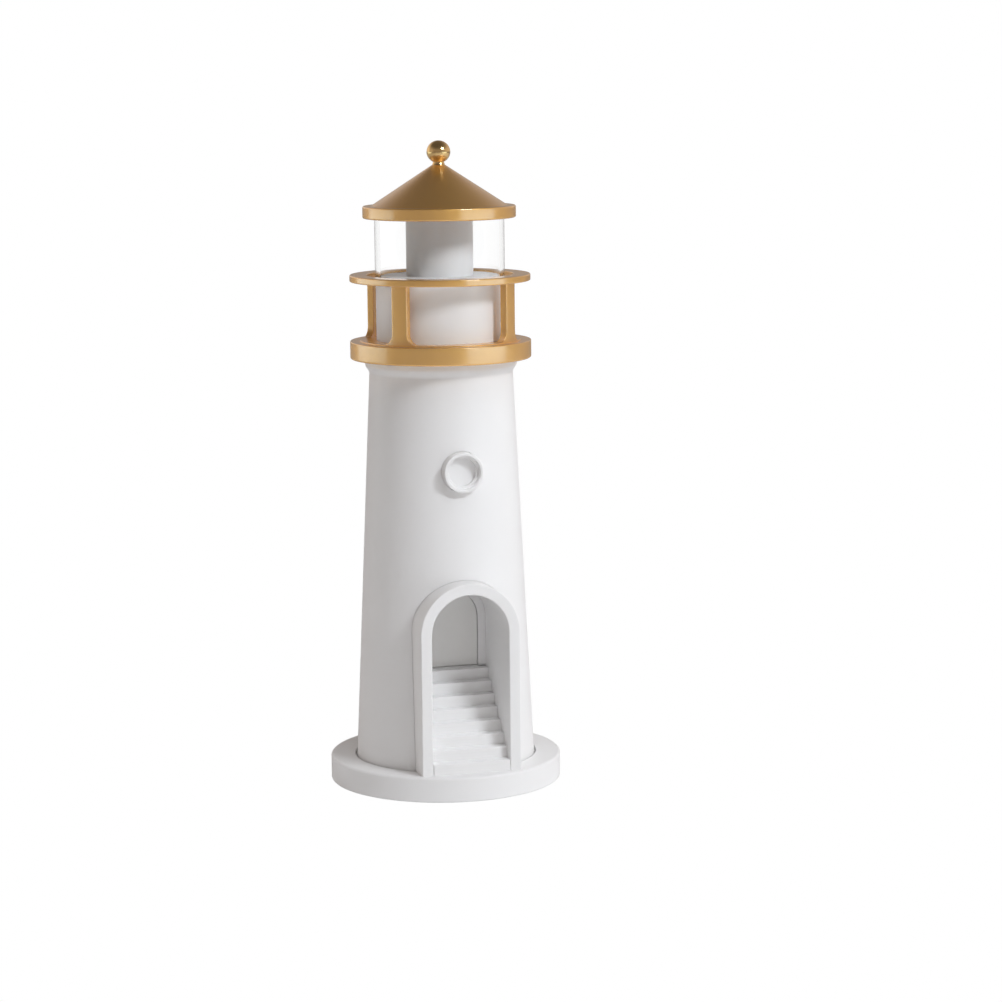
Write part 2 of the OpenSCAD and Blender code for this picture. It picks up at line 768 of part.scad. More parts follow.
// Ring of the porthole, with an inner rim that holds the button back
module porthole_ring() {
    mouth_r = ring_r - ring_wall;
    color(white_plastic) translate([0, 0, porthole_z]) face_front() rotate_extrude() polygon(concat(
        [[ring_r, ring_back]],
        arc([ring_r - ring_edge_r, ring_face - ring_edge_r], ring_edge_r, 0, 90),
        arc([mouth_r + ring_edge_r, ring_face - ring_edge_r], ring_edge_r, 90, 180),
        [[mouth_r, ring_face - ring_mouth],
         [ring_rim_r, ring_face - ring_mouth],
         [ring_rim_r, button_face],
         [mouth_r, button_face],
         [mouth_r, ring_back]]));
}

// Button behind the ring's rim: a cap with a skirt, and a stem on the switch
module mode_button() {
    color(white_plastic) translate([0, 0, porthole_z]) face_front() {
        translate([0, 0, button_face - button_t]) cylinder(r = button_r, h = button_t);
        translate([0, 0, button_face - button_skirt])
            pipe(button_r, button_r - button_skirt_t, button_skirt - button_t / 2);
        translate([0, 0, button_face - button_t - stem_l]) cylinder(r = stem_r, h = stem_l + button_t / 2);
    }
}

// Plunger of the push switch, which moves with the button
module switch_plunger() {
    color(black_plastic) translate([0, -switch_front + plunger_sink, porthole_z]) face_front()
        cylinder(r = plunger_r, h = plunger_sink + button_travel + plunger_gap);
}

// Body of the push switch on its board
module switch_body() {
    color(steel_grey) difference() {
        translate([-switch_w / 2, -switch_front, porthole_z - switch_w / 2])
            cube([switch_w, switch_t, switch_w]);
        translate([0, -switch_front + plunger_sink + button_travel + plunger_gap, porthole_z]) face_front()
            cylinder(r = plunger_r + plunger_gap, h = switch_t);
    }
}

// Board behind the porthole, on four posts of the tower
module button_board() {
    color(board_green) difference() {
        translate([-button_board_half_w, -button_board_front, porthole_z - button_board_half_h])
            cube([2 * button_board_half_w, button_board_t, 2 * button_board_half_h]);
        button_post_places() translate([0, 0, -button_board_t - overrun])
            cylinder(r = small_screw_r + thread_gap, h = button_board_t + 2 * overrun);
    }
}

// Copies its children to the main board's screws, pointing to the rear
module main_screw_places() {
    for (x = [-1, 1], z = [main_screw_inset, main_board_h - main_screw_inset])
        translate([x * (main_board_half_w - main_screw_inset), main_board_y, main_board_z + z])
            face_rear() children();
}

// Upright plate behind the alcove: foot, edge ribs, standoffs, and arms and stops for the battery
module chassis() {
    color(white_plastic) difference() {
        union() {
            translate([-chassis_half_w, chassis_y, chassis_foot_z])
                cube([2 * chassis_half_w, chassis_t, chassis_top_z - chassis_foot_z]);
            translate([-chassis_half_w, chassis_y, chassis_foot_z])
                cube([2 * chassis_half_w, chassis_t + chassis_foot_l, chassis_foot_t]);
            for (x = [-chassis_half_w, chassis_half_w - chassis_rib_w])
                translate([x, chassis_y, chassis_foot_z])
                    cube([chassis_rib_w, chassis_t + chassis_rib_l, chassis_top_z - chassis_foot_z]);
            for (share = arm_place_shares)
                translate([0, cell_y, cell_z + share * cell_l]) rotate([0, 0, 270 - arm_wrap_deg / 2])
                    rotate_extrude(angle = arm_wrap_deg) translate([cell_r + seat_gap, 0])
                        square([arm_t, arm_h]);
            for (z = [cell_z - contact_t - end_stop_t, cell_z + cell_l + contact_t])
                translate([-end_stop_half_w, chassis_y, z])
                    cube([2 * end_stop_half_w, cell_y + end_stop_half_w - chassis_y, end_stop_t]);
            stair_screw_places() translate([0, 0, stair_board_t])
                cylinder(r = standoff_r, h = stair_board_standoff + chassis_t / 2);
            main_screw_places() translate([0, 0, main_board_t])
                cylinder(r = standoff_r, h = main_board_standoff + chassis_t / 2);
        }
        for (side = [-1, 1])
            translate([side * chassis_screw_x, chassis_screw_y, chassis_foot_z - overrun])
                cylinder(r = mid_screw_r + 2 * thread_gap, h = chassis_foot_t + 2 * overrun);
        stair_screw_places()
            cylinder(r = small_screw_r + thread_gap, h = stair_screw_l + chassis_t + overrun);
        main_screw_places()
            cylinder(r = small_screw_r + thread_gap, h = main_screw_l + chassis_t + overrun);
    }
}

// Screws that hold the chassis on the base's posts
module chassis_screws() {
    color(steel_grey) for (side = [-1, 1])
        translate([side * chassis_screw_x, chassis_screw_y, chassis_foot_z + chassis_foot_t])
            mirror([0, 0, 1]) screw(mid_screw_r, chassis_screw_l, mid_head_r, mid_head_h);
}

// Small screws of the four boards
module board_screws() {
    color(steel_grey) {
        stair_screw_places() screw(small_screw_r, stair_screw_l, small_head_r, small_head_h);
        main_screw_places() screw(small_screw_r, main_screw_l, small_head_r, small_head_h);
        button_post_places() translate([0, 0, -button_board_t])
            screw(small_screw_r, button_screw_l, small_head_r, small_head_h);
        charge_post_places() translate([0, 0, charge_board_t]) mirror([0, 0, 1])
            screw(small_screw_r, charge_screw_l, small_head_r, small_head_h);
    }
}

// Rechargeable cell, upright behind the chassis
module battery_cell() {
    color(cell_blue) translate([0, cell_y, cell_z]) {
        cylinder(r = cell_r, h = cell_l - cell_nub_h);
        cylinder(r = cell_nub_r, h = cell_l);
    }
}

// Contact plates at the cell's two ends
module battery_contacts() {
    color(nickel) for (z = [cell_z - contact_t, cell_z + cell_l])
        translate([0, cell_y, z]) cylinder(r = contact_r, h = contact_t);
}

// Board with the charger, the lamp drivers and the controller
module main_board() {
    color(board_green) {
        difference() {
            translate([-main_board_half_w, main_board_y, main_board_z])
                cube([2 * main_board_half_w, main_board_t, main_board_h]);
            main_screw_places() translate([0, 0, -overrun])
                cylinder(r = small_screw_r + thread_gap, h = main_board_t + 2 * overrun);
        }
        for (part = main_part_shares)
            translate([(part[0] - part[2]) * main_board_half_w, main_board_y - part[4] * chip_t,
                       main_board_z + (part[1] - part[3] / 2) * main_board_h])
                cube([2 * part[2] * main_board_half_w, part[4] * chip_t + main_board_t / 2,
                      part[3] * main_board_h]);
    }
}

// Copies its children to the tops of the charge board's posts
module charge_post_places() {
    for (x = [-charge_post_x, charge_post_x],
         y = [charge_board_front_y + charge_post_inset, charge_board_back_y - charge_post_inset])
        translate([x, y, charge_board_z]) children();
}

// Level board that carries the charge socket
module charge_board() {
    color(board_green) difference() {
        translate([-charge_board_half_w, charge_board_front_y, charge_board_z])
            cube([2 * charge_board_half_w, charge_board_l, charge_board_t]);
        charge_post_places() translate([0, 0, -overrun])
            cylinder(r = small_screw_r + thread_gap, h = charge_board_t + 2 * overrun);
    }
}

// Charge socket: a thin shell with a tongue, open to the rear
module charge_socket() {
    cavity_l = socket_l * (1 - socket_floor_share);
    color(nickel) translate([0, inlet_face_y - socket_l, inlet_z]) {
        difference() {
            face_rear() linear_extrude(height = socket_l) round_slot(socket_w, socket_h);
            translate([0, socket_l - cavity_l, 0]) face_rear() linear_extrude(height = cavity_l + overrun)
                round_slot(socket_w - 2 * socket_shell_t, socket_h - 2 * socket_shell_t);
        }
        translate([-tongue_w / 2, socket_l - cavity_l - socket_shell_t, -tongue_t / 2])
            cube([tongue_w, cavity_l + socket_shell_t - tongue_inset, tongue_t]);
    }
}

// Gallery deck with a spigot in the tower's top flange and seats for the screws
module gallery_deck() {
    spigot_r = top_flange_r - seat_gap;
    color(satin_gold) difference() {
        rotate_extrude() polygon([
            [deck_bore_r, deck_z - deck_spigot_l],
            [spigot_r, deck_z - deck_spigot_l],
            [spigot_r, deck_z],
            [deck_r - deck_chamfer, deck_z],
            [deck_r, deck_z + deck_chamfer],
            [deck_r, deck_top_z - deck_top_edge],
            [deck_r - deck_top_edge, deck_top_z],
            [deck_bore_r, deck_top_z]]);
        ring_of(drum_screw_angles, drum_boss_pcd_r) {
            translate([0, 0, deck_z - deck_spigot_l - overrun])
                cylinder(r = mid_head_r + seat_gap, h = deck_t - drum_screw_web + deck_spigot_l + overrun);
            translate([0, 0, deck_z])
                cylinder(r = mid_screw_r + 2 * thread_gap, h = deck_t + overrun);
        }
        ring_of(deck_screw_angles, deck_screw_pcd_r) translate([0, 0, deck_z - overrun])
            cylinder(r = mid_screw_r + thread_gap, h = deck_screw_l - top_flange_t + overrun + seat_gap);
    }
}

// One upright of the railing, with the hollow roundings at its foot, trimmed to the round wall
module rail_post() {
    root_z = rail_foot_z - rail_foot_t / 2;
    head_z = rail_ring_z + rail_ring_t / 2;
    half_w = rail_post_w / 2;
    foot_half_w = half_w + rail_fillet_r;
    arc_z = rail_foot_z + rail_fillet_r;
    intersection() {
        translate([0, 0, root_z]) pipe(rail_post_r, rail_post_in_r, head_z - root_z);
        rotate([90, 0, 90]) linear_extrude(height = rail_post_r + overrun) polygon(concat(
            [[-foot_half_w, root_z], [foot_half_w, root_z]],
            arc([foot_half_w, arc_z], rail_fillet_r, 270, 180),
            [[half_w, head_z], [-half_w, head_z]],
            arc([-foot_half_w, arc_z], rail_fillet_r, 0, -90)));
    }
}

// Railing in one piece: foot ring, four uprights and top ring
module gallery_railing() {
    color(satin_gold) {
        translate([0, 0, deck_top_z]) pipe(rail_post_r, drum_r + rail_foot_gap, rail_foot_t);
        for (a = rail_post_angles)
            rotate([0, 0, a]) rail_post();
        rotate_extrude() polygon([
            [rail_ring_in_r + rail_ring_edge, rail_ring_z],
            [rail_ring_r - rail_ring_edge, rail_ring_z],
            [rail_ring_r, rail_ring_z + rail_ring_edge],
            [rail_ring_r, rail_top_z - rail_ring_edge],
            [rail_ring_r - rail_ring_edge, rail_top_z],
            [rail_ring_in_r + rail_ring_edge, rail_top_z],
            [rail_ring_in_r, rail_top_z - rail_ring_edge],
            [rail_ring_in_r, rail_ring_z + rail_ring_edge]]);
    }
}

// Drum inside the railing: its top plate carries the turning lantern and the stop groove
module drum() {
    groove_w = 2 * (stop_pin_r + slide_gap);
    color(white_plastic) difference() {
        union() {
            rotate_extrude() polygon([
                [drum_r - drum_wall, deck_top_z],
                [drum_r, deck_top_z],
                [drum_r, drum_top_z - drum_edge],
                [drum_r - drum_edge, drum_top_z],
                [hub_r + run_gap, drum_top_z],
                [hub_r + run_gap, drum_top_z - drum_top_t],
                [drum_r - drum_wall, drum_top_z - drum_top_t]]);
            ring_of(drum_screw_angles, drum_boss_pcd_r) translate([0, 0, deck_top_z])
                cylinder(r = drum_boss_r, h = drum_boss_h);
        }
        ring_of(drum_screw_angles, drum_boss_pcd_r) translate([0, 0, deck_top_z - overrun])
            cylinder(r = mid_screw_r + thread_gap, h = drum_screw_l - drum_screw_web + overrun + seat_gap);
        rotate([0, 0, -90 - stop_half_deg]) rotate_extrude(angle = 2 * stop_half_deg)
            translate([stop_pcd_r - groove_w / 2, drum_top_z - stop_groove_d])
                square([groove_w, stop_groove_d + overrun]);
    }
}

// Screws from the tower's top flange into the deck
module deck_screws() {
    color(steel_grey) ring_of(deck_screw_angles, deck_screw_pcd_r)
        translate([0, 0, deck_z - top_flange_t])
            screw(mid_screw_r, deck_screw_l, mid_head_r, mid_head_h);
}

// Screws from under the deck into the drum's bosses
module drum_screws() {
    color(steel_grey) ring_of(drum_screw_angles, drum_boss_pcd_r)
        translate([0, 0, deck_top_z - drum_screw_web])
            screw(mid_screw_r, drum_screw_l, mid_head_r, mid_head_h);
}

// Turntable: the lantern's floor, the hub with its clip groove, the stop pin and the seats on top
module turntable() {
    groove_r = hub_r - clip_groove_d;
    step_r = tube_in_r - seat_gap;
    spigot_r = barrel_in_r - seat_gap;
    color(white_plastic) {
        rotate_extrude() polygon([
            [wire_bore_r, hub_end_z],
            [hub_r, hub_end_z],
            [hub_r, clip_z - seat_gap],
            [groove_r, clip_z - seat_gap],
            [groove_r, washer_z],
            [hub_r, washer_z],
            [hub_r, turn_z],
            [tube_r, turn_z],
            [tube_r, turn_top_z],
            [step_r, turn_top_z],
            [step_r, turn_floor_z],
            [wire_bore_r, turn_floor_z]]);
        translate([0, 0, turn_floor_z - turn_floor_t / 2])
            pipe(spigot_r, spigot_r - barrel_spigot_t, barrel_spigot_h + turn_floor_t / 2);
        translate([0, -stop_pcd_r, turn_z - stop_pin_l])
            cylinder(r = stop_pin_r, h = stop_pin_l + turn_flange_t / 2);
        translate([-pillar_half_w, pillar_back_y, turn_floor_z - turn_floor_t / 2])
            cube([2 * pillar_half_w, pillar_front_y - pillar_back_y,
                  lens_z - lens_tube_r - seat_gap - turn_floor_z + turn_floor_t / 2]);
    }
}

// Friction washer between the clip and the drum's top plate
module friction_washer() {
    color(steel_grey) translate([0, 0, washer_z]) pipe(washer_r, hub_r + seat_gap, washer_t);
}

// Open retaining clip in the hub's groove
module hub_clip() {
    clip_in_r = hub_r - clip_groove_d + seat_gap;
    color(dark_steel) translate([0, 0, clip_z]) rotate([0, 0, clip_mouth_deg / 2 - 90])
        rotate_extrude(angle = 360 - clip_mouth_deg) translate([clip_in_r, 0])
            square([clip_r - clip_in_r, clip_t]);
}

// Clear tube round the projector
module lantern_tube() {
    color(clear_plastic) translate([0, 0, turn_top_z]) pipe(tube_r, tube_in_r, tube_h);
}

// White barrel that hides the projector, with a hole for the lens tube at the rear
module projector_barrel() {
    color(white_plastic) difference() {
        translate([0, 0, turn_floor_z]) pipe(barrel_r, barrel_in_r, barrel_top_z - turn_floor_z);
        translate([0, 0, lens_z]) face_rear() cylinder(r = lens_tube_r + seat_gap, h = barrel_r + overrun);
    }
}

// Lid of the barrel, with the boss that takes the finial's stud
module barrel_lid() {
    boss_top_z = cap_tip_in_z;
    color(white_plastic) difference() {
        union() {
            translate([0, 0, barrel_top_z]) cylinder(r = barrel_r, h = lid_t);
            translate([0, 0, barrel_top_z - lid_plug_h])
                cylinder(r = barrel_in_r - seat_gap, h = lid_plug_h + lid_t / 2);
            translate([0, 0, barrel_top_z]) cylinder(r = lid_boss_r, h = boss_top_z - barrel_top_z);
        }
        translate([0, 0, tip_z - stud_l - seat_gap])
            cylinder(r = stud_r + thread_gap, h = stud_l + overrun);
    }
}

// Copies its children to the projector's axis, which points to the rear
module on_lens_axis(y) {
    translate([0, y, lens_z]) face_rear() children();
}

// A shallow dome of base radius a and height s, on z = 0
module dome(a, s) {
    ball = (a * a + s * s) / (2 * s);
    intersection() {
        translate([0, 0, s - ball]) sphere(r = ball);
        cylinder(r = a + overrun, h = s + overrun);
    }
}

// Copies its children to the projector's two screws
module projector_screw_places(y) {
    for (side = [-1, 1])
        translate([0, 0, side * projector_screw_off]) on_lens_axis(y) children();
}

// Lens tube: a flange for the light at the back, a seat for the slide and a seat for the lens
module lens_tube() {
    seat_r = lens_r + seat_gap;
    color(black_plastic) difference() {
        on_lens_axis(0) rotate_extrude() polygon([
            [seat_r, lens_tube_back_y],
            [lens_flange_r, lens_tube_back_y],
            [lens_flange_r, lens_tube_back_y + lens_flange_t],
            [lens_tube_r, lens_tube_back_y + lens_flange_t],
            [lens_tube_r, lens_tube_front_y],
            [seat_r, lens_tube_front_y],
            [seat_r, lens_tube_front_y - lens_rim_t],
            [lens_bore_r, lens_tube_front_y - lens_rim_t],
            [lens_bore_r, lens_tube_back_y + slide_seat_d],
            [seat_r, lens_tube_back_y + slide_seat_d]]);
        projector_screw_places(lens_tube_back_y - overrun)
            cylinder(r = small_screw_r + thread_gap, h = lens_flange_t + 2 * overrun);
    }
}

// Front lens, domed on both sides round a flat rim
module projector_lens() {
    color(clear_plastic) on_lens_axis(lens_tube_front_y - lens_rim_t) {
        cylinder(r = lens_r, h = lens_rim_t);
        translate([0, 0, lens_rim_t]) dome(lens_dome_r, lens_front_sag);
        mirror([0, 0, 1]) dome(lens_dome_r, lens_back_sag);
    }
}

// Bezel that holds the front lens in its tube
module lens_bezel() {
    back_y = lens_tube_front_y + bezel_lip_t - bezel_l;
    color(black_plastic) on_lens_axis(0) rotate_extrude() polygon([
        [lens_tube_r + seat_gap, back_y],
        [bezel_r, back_y],
        [bezel_r, lens_tube_front_y + bezel_lip_t / 2],
        [bezel_r - bezel_lip_t / 2, lens_tube_front_y + bezel_lip_t],
        [lens_bore_r + seat_gap, lens_tube_front_y + bezel_lip_t],
        [lens_bore_r + seat_gap, lens_tube_front_y],
        [lens_tube_r + seat_gap, lens_tube_front_y]]);
}

// Condenser lens between the light and the slide
module condenser_lens() {
    color(clear_plastic) on_lens_axis(lens_tube_back_y + slide_seat_d - slide_t) mirror([0, 0, 1]) {
        cylinder(r = lens_r, h = condenser_rim_t);
        translate([0, 0, condenser_rim_t]) dome(lens_dome_r, condenser_sag);
    }
}

// Round picture slide against its seat
module picture_slide() {
    color(black_plastic) on_lens_axis(lens_tube_back_y + slide_seat_d - slide_t)
        cylinder(r = lens_r, h = slide_t);
}

// Round board with the projector's light
module projector_led_board() {
    color(warm_white) {
        difference() {
            on_lens_axis(lens_tube_back_y - led_board_t) cylinder(r = lens_flange_r, h = led_board_t);
            projector_screw_places(lens_tube_back_y - led_board_t - overrun)
                cylinder(r = small_screw_r + thread_gap, h = led_board_t + 2 * overrun);
        }
        on_lens_axis(lens_tube_back_y - led_board_t / 2) translate([-led_w / 2, -led_w / 2, 0])
            cube([led_w, led_w, led_t + led_board_t / 2]);
    }
}

// Finned heat sink behind the projector's light, trimmed to the barrel
module heat_sink() {
    base_y = lens_tube_back_y - led_board_t - sink_base_t;
    color(nickel) difference() {
        intersection() {
            union() {
                translate([-barrel_in_r, base_y, lens_z - sink_half_h])
                    cube([2 * barrel_in_r, sink_base_t, 2 * sink_half_h]);
                for (side = [-1, 1], i = [0 : sink_fin_pairs - 1])
                    translate([side * (sink_fin_first_x + i * sink_fin_pitch) - sink_fin_t / 2,
                               base_y - sink_fin_l, lens_z - sink_half_h])
                        cube([sink_fin_t, sink_fin_l + sink_base_t / 2, 2 * sink_half_h]);
            }
            translate([0, 0, lens_z - 2 * sink_half_h])
                cylinder(r = barrel_in_r - sink_gap, h = 4 * sink_half_h);
        }
        projector_screw_places(base_y - overrun)
            cylinder(r = small_screw_r + thread_gap, h = sink_base_t + 2 * overrun);
    }
}

// Screws that hold the heat sink and the light's board on the lens tube
module projector_screws() {
    color(steel_grey) projector_screw_places(lens_tube_back_y - led_board_t - sink_base_t)
        screw(small_screw_r, projector_screw_l, small_head_r, small_head_h);
}

// Hollow roof: rim, ledge and cone, with a seat for the clear tube
module roof_cap() {
    seat_r = tube_r + seat_gap;
    stud_hole_r = stud_r + thread_gap;
    color(satin_gold) rotate_extrude() polygon(concat(
        [[seat_r, cap_z]],
        arc([cap_r - cap_edge_r, cap_z + cap_edge_r], cap_edge_r, -90, 0),
        arc([cap_r - cap_edge_r, cap_rim_z - cap_edge_r], cap_edge_r, 0, 90),
        [[cone_r, cap_rim_z],
         [tip_r, tip_z],
         [stud_hole_r, tip_z],
         [stud_hole_r, cap_tip_in_z],
         [cap_tip_in_r, cap_tip_in_z],
         [cap_in_r, cone_z(cap_in_r) - cap_drop],
         [cap_in_r, tube_top_z],
         [seat_r, tube_top_z]]));
}

// Ball on its neck, with the stud that clamps the roof to the barrel's lid
module finial() {
    color(bright_gold) {
        translate([0, 0, ball_z]) scale([1, 1, ball_h / (2 * ball_r)]) sphere(r = ball_r);
        translate([0, 0, tip_z]) cylinder(r = neck_r, h = ball_z - tip_z);
        translate([0, 0, tip_z - stud_l]) cylinder(r = stud_r, h = stud_l + neck_h);
    }
}

base_disc();
base_weight();
bottom_cover();
foot_pad();
cover_screws();
tower_screws();
tower_shell();
door_surround();
stair_flight();
stair_diffuser();
stair_light_board();
porthole_ring();
mode_button();
switch_plunger();
switch_body();
button_board();
chassis();
chassis_screws();
board_screws();
battery_cell();
battery_contacts();
main_board();
charge_board();
charge_socket();
gallery_deck();
gallery_railing();
drum();
deck_screws();
drum_screws();
turntable();
friction_washer();
hub_clip();
lantern_tube();
projector_barrel();
barrel_lid();
lens_tube();
projector_lens();
lens_bezel();
condenser_lens();
picture_slide();
projector_led_board();
heat_sink();
projector_screws();
roof_cap();
finial();
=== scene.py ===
"""Lighthouse table lamp: materials, light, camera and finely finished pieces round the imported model.

Metres. The origin is the middle of the underside, +Z is up and the doorway faces -Y.
"""
import json
import math
from collections import namedtuple

import bmesh
import bpy
from mathutils import Matrix, Vector


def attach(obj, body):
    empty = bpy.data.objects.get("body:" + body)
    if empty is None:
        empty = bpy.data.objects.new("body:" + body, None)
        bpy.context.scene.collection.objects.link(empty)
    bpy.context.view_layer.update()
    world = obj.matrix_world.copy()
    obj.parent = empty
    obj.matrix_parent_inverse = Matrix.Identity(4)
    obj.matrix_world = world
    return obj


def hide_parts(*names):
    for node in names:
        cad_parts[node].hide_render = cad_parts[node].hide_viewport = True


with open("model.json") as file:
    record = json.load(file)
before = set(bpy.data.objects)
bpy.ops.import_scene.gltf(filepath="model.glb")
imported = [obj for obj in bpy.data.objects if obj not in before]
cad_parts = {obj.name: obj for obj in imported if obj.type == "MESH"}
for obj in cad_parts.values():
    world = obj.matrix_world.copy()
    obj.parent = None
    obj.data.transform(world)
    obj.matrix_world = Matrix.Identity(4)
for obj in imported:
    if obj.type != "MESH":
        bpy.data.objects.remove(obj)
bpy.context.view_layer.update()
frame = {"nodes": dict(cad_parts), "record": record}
MM = 0.001


# Materials

MATERIALS = {}
# Most values of a noise texture lie between these
NOISE_LOW, NOISE_HIGH = 0.3, 0.7


def new_material(name):
    """A plain node material, kept under its name, and its Principled shader."""
    mat = bpy.data.materials.new(name)
    mat.use_nodes = True
    MATERIALS[name] = mat
    return mat, mat.node_tree.nodes["Principled BSDF"]


def set_inputs(node, values):
    """Sets constants on a node's own sockets."""
    for key, value in values.items():
        node.inputs[key].default_value = value


def noise(mat, scale, detail=3.0, roughness=0.5):
    """A noise texture on the object's own coordinates, in millimetres."""
    nodes, links = mat.node_tree.nodes, mat.node_tree.links
    coord = nodes.new("ShaderNodeTexCoord")
    mapping = nodes.new("ShaderNodeMapping")
    set_inputs(mapping, {"Scale": (1 / MM, 1 / MM, 1 / MM)})
    tex = nodes.new("ShaderNodeTexNoise")
    set_inputs(tex, {"Scale": scale, "Detail": detail, "Roughness": roughness})
    links.new(coord.outputs["Object"], mapping.inputs["Vector"])
    links.new(mapping.outputs["Vector"], tex.inputs["Vector"])
    return tex.outputs["Fac"]


def colour_between(mat, fac, low, high):
    """A colour that goes from one tone to another with a noise."""
    node = mat.node_tree.nodes.new("ShaderNodeValToRGB")
    first, last = node.color_ramp.elements
    first.position, first.color = NOISE_LOW, (*low, 1)
    last.position, last.color = NOISE_HIGH, (*high, 1)
    mat.node_tree.links.new(fac, node.inputs["Fac"])
    return node.outputs["Color"]


def value_between(mat, fac, low, high):
    """A number that goes from low to high with a noise."""
    node = mat.node_tree.nodes.new("ShaderNodeMapRange")
    set_inputs(node, {"From Min": NOISE_LOW, "From Max": NOISE_HIGH, "To Min": low, "To Max": high})
    mat.node_tree.links.new(fac, node.inputs["Value"])
    return node.outputs["Result"]


def finish(name, low, high, rough, drift_scale, metallic=0.0, grain=0.1, grain_scale=2.0,
           grain_depth=0.00003, **inputs):
    """A procedural material: a colour that drifts between two tones, an uneven gloss and a fine grain."""
    mat, shader = new_material(name)
    nodes, links = mat.node_tree.nodes, mat.node_tree.links
    set_inputs(shader, {"Metallic": metallic})
    set_inputs(shader, {key.replace("_", " "): value for key, value in inputs.items()})
    drift = noise(mat, drift_scale)
    links.new(colour_between(mat, drift, low, high), shader.inputs["Base Color"])
    fine = noise(mat, grain_scale, detail=4.0, roughness=0.6)
    links.new(value_between(mat, fine, *rough), shader.inputs["Roughness"])
    bump = nodes.new("ShaderNodeBump")
    set_inputs(bump, {"Strength": grain, "Distance": grain_depth})
    links.new(fine, bump.inputs["Height"])
    links.new(bump.outputs["Normal"], shader.inputs["Normal"])
    return mat


def glass(name, tint, rough, ior):
    """Clear plastic or glass with faint haze."""
    mat, shader = new_material(name)
    nodes, links = mat.node_tree.nodes, mat.node_tree.links
    set_inputs(shader, {"Base Color": (*tint, 1), "Transmission Weight": 1.0, "IOR": ior})
    haze = noise(mat, scale=0.08)
    links.new(value_between(mat, haze, *rough), shader.inputs["Roughness"])
    # Light passes to what is inside, because clear plastic casts next to no shadow
    mix = nodes.new("ShaderNodeMixShader")
    links.new(nodes.new("ShaderNodeLightPath").outputs["Is Shadow Ray"], mix.inputs["Fac"])
    links.new(shader.outputs["BSDF"], mix.inputs[1])
    links.new(nodes.new("ShaderNodeBsdfTransparent").outputs["BSDF"], mix.inputs[2])
    links.new(mix.outputs["Shader"], nodes["Material Output"].inputs["Surface"])


# Slot, the two tones, least and greatest roughness, scale of the drift from tone to tone
finish("white_shell", (0.868, 0.862, 0.858), (0.888, 0.882, 0.878), (0.42, 0.50), 0.02,
       grain=0.12, grain_scale=2.4, grain_depth=0.00002)
finish("satin_gold", (0.88, 0.48, 0.09), (0.92, 0.51, 0.10), (0.48, 0.54), 0.03, metallic=1.0,
       grain=0.10, grain_scale=3.0, grain_depth=0.00001,
       Coat_Weight=1.0, Coat_IOR=2.4, Coat_Roughness=0.21)
finish("bright_gold", (0.80, 0.53, 0.23), (0.83, 0.56, 0.25), (0.14, 0.20), 0.05, metallic=1.0,
       grain=0.05, grain_scale=1.0, grain_depth=0.00001)
finish("stair_light_panel", (0.83, 0.82, 0.80), (0.85, 0.84, 0.82), (0.35, 0.42), 0.03, grain=0.08)
finish("inner_plastic", (0.72, 0.72, 0.71), (0.75, 0.75, 0.74), (0.5, 0.6), 0.05)
finish("black_plastic", (0.012, 0.012, 0.013), (0.02, 0.02, 0.022), (0.4, 0.5), 0.05)
finish("foot_rubber", (0.02, 0.02, 0.021), (0.03, 0.03, 0.032), (0.75, 0.9), 0.1,
       grain=0.4, grain_scale=1.4)
finish("weight_steel", (0.20, 0.21, 0.22), (0.26, 0.27, 0.28), (0.35, 0.5), 0.1, metallic=1.0)
finish("screw_steel", (0.50, 0.51, 0.53), (0.58, 0.59, 0.61), (0.25, 0.4), 0.3, metallic=1.0)
finish("contact_nickel", (0.60, 0.58, 0.54), (0.68, 0.66, 0.62), (0.2, 0.3), 0.3, metallic=1.0)
finish("sink_aluminium", (0.62, 0.63, 0.64), (0.70, 0.71, 0.72), (0.3, 0.45), 0.2, metallic=1.0)
finish("green_board", (0.008, 0.085, 0.04), (0.014, 0.12, 0.055), (0.3, 0.45), 0.3)
finish("white_board", (0.78, 0.78, 0.75), (0.83, 0.83, 0.80), (0.3, 0.4), 0.3)
finish("cell_wrap", (0.03, 0.12, 0.28), (0.04, 0.16, 0.34), (0.2, 0.3), 0.1)
# Slot, tint, least and greatest roughness, index of refraction
glass("clear_tube", (1.0, 1.0, 1.0), (0.0, 0.02), 1.2)
glass("lens_glass", (0.96, 0.98, 1.0), (0.0, 0.01), 1.5)

for part in frame["record"]["subparts"]:
    node = frame["nodes"][part["node"]]
    node.data.materials.clear()
    node.data.materials.append(MATERIALS[part["material_slot"]])


# Fine pieces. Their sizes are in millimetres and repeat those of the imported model.

BASE_TOP, SOCKET_Z = 9.9, 8.3
TOWER_FOOT_R, TOWER_TAPER, NECK_R, NECK_Z = 33.82, 6.86, 26.96, 155.7
DECK_Z, DECK_TOP = 161.1, 167.8
# The door surround's face, in front of the axis, and its half widths outside and inside
DOOR_FACE, DOOR_W, DOOR_IN, ARCH_Z = 38.184, 19.0, 14.7, 62.2
# Where the face and the rear of the alcove's back wall are along Y
ALCOVE_WALL, ALCOVE_BACK = -5.68, -4.08
PORTHOLE_Z = 121.5
TURN_TOP, LANTERN_FLOOR = 191.5, 192.1
TUBE_R, TUBE_TOP, TIP_Z = 24.25, 215, 232.9
SEAT_GAP = 0.1

# Faces round a large lathe, round a small one such as the porthole or the ball, and round a rod
SEGMENTS, SMALL_SEGMENTS, ROD_SEGMENTS = 160, 96, 32
# Metres
MERGE_DISTANCE = 2e-7
SHARP_ANGLE = math.radians(32)


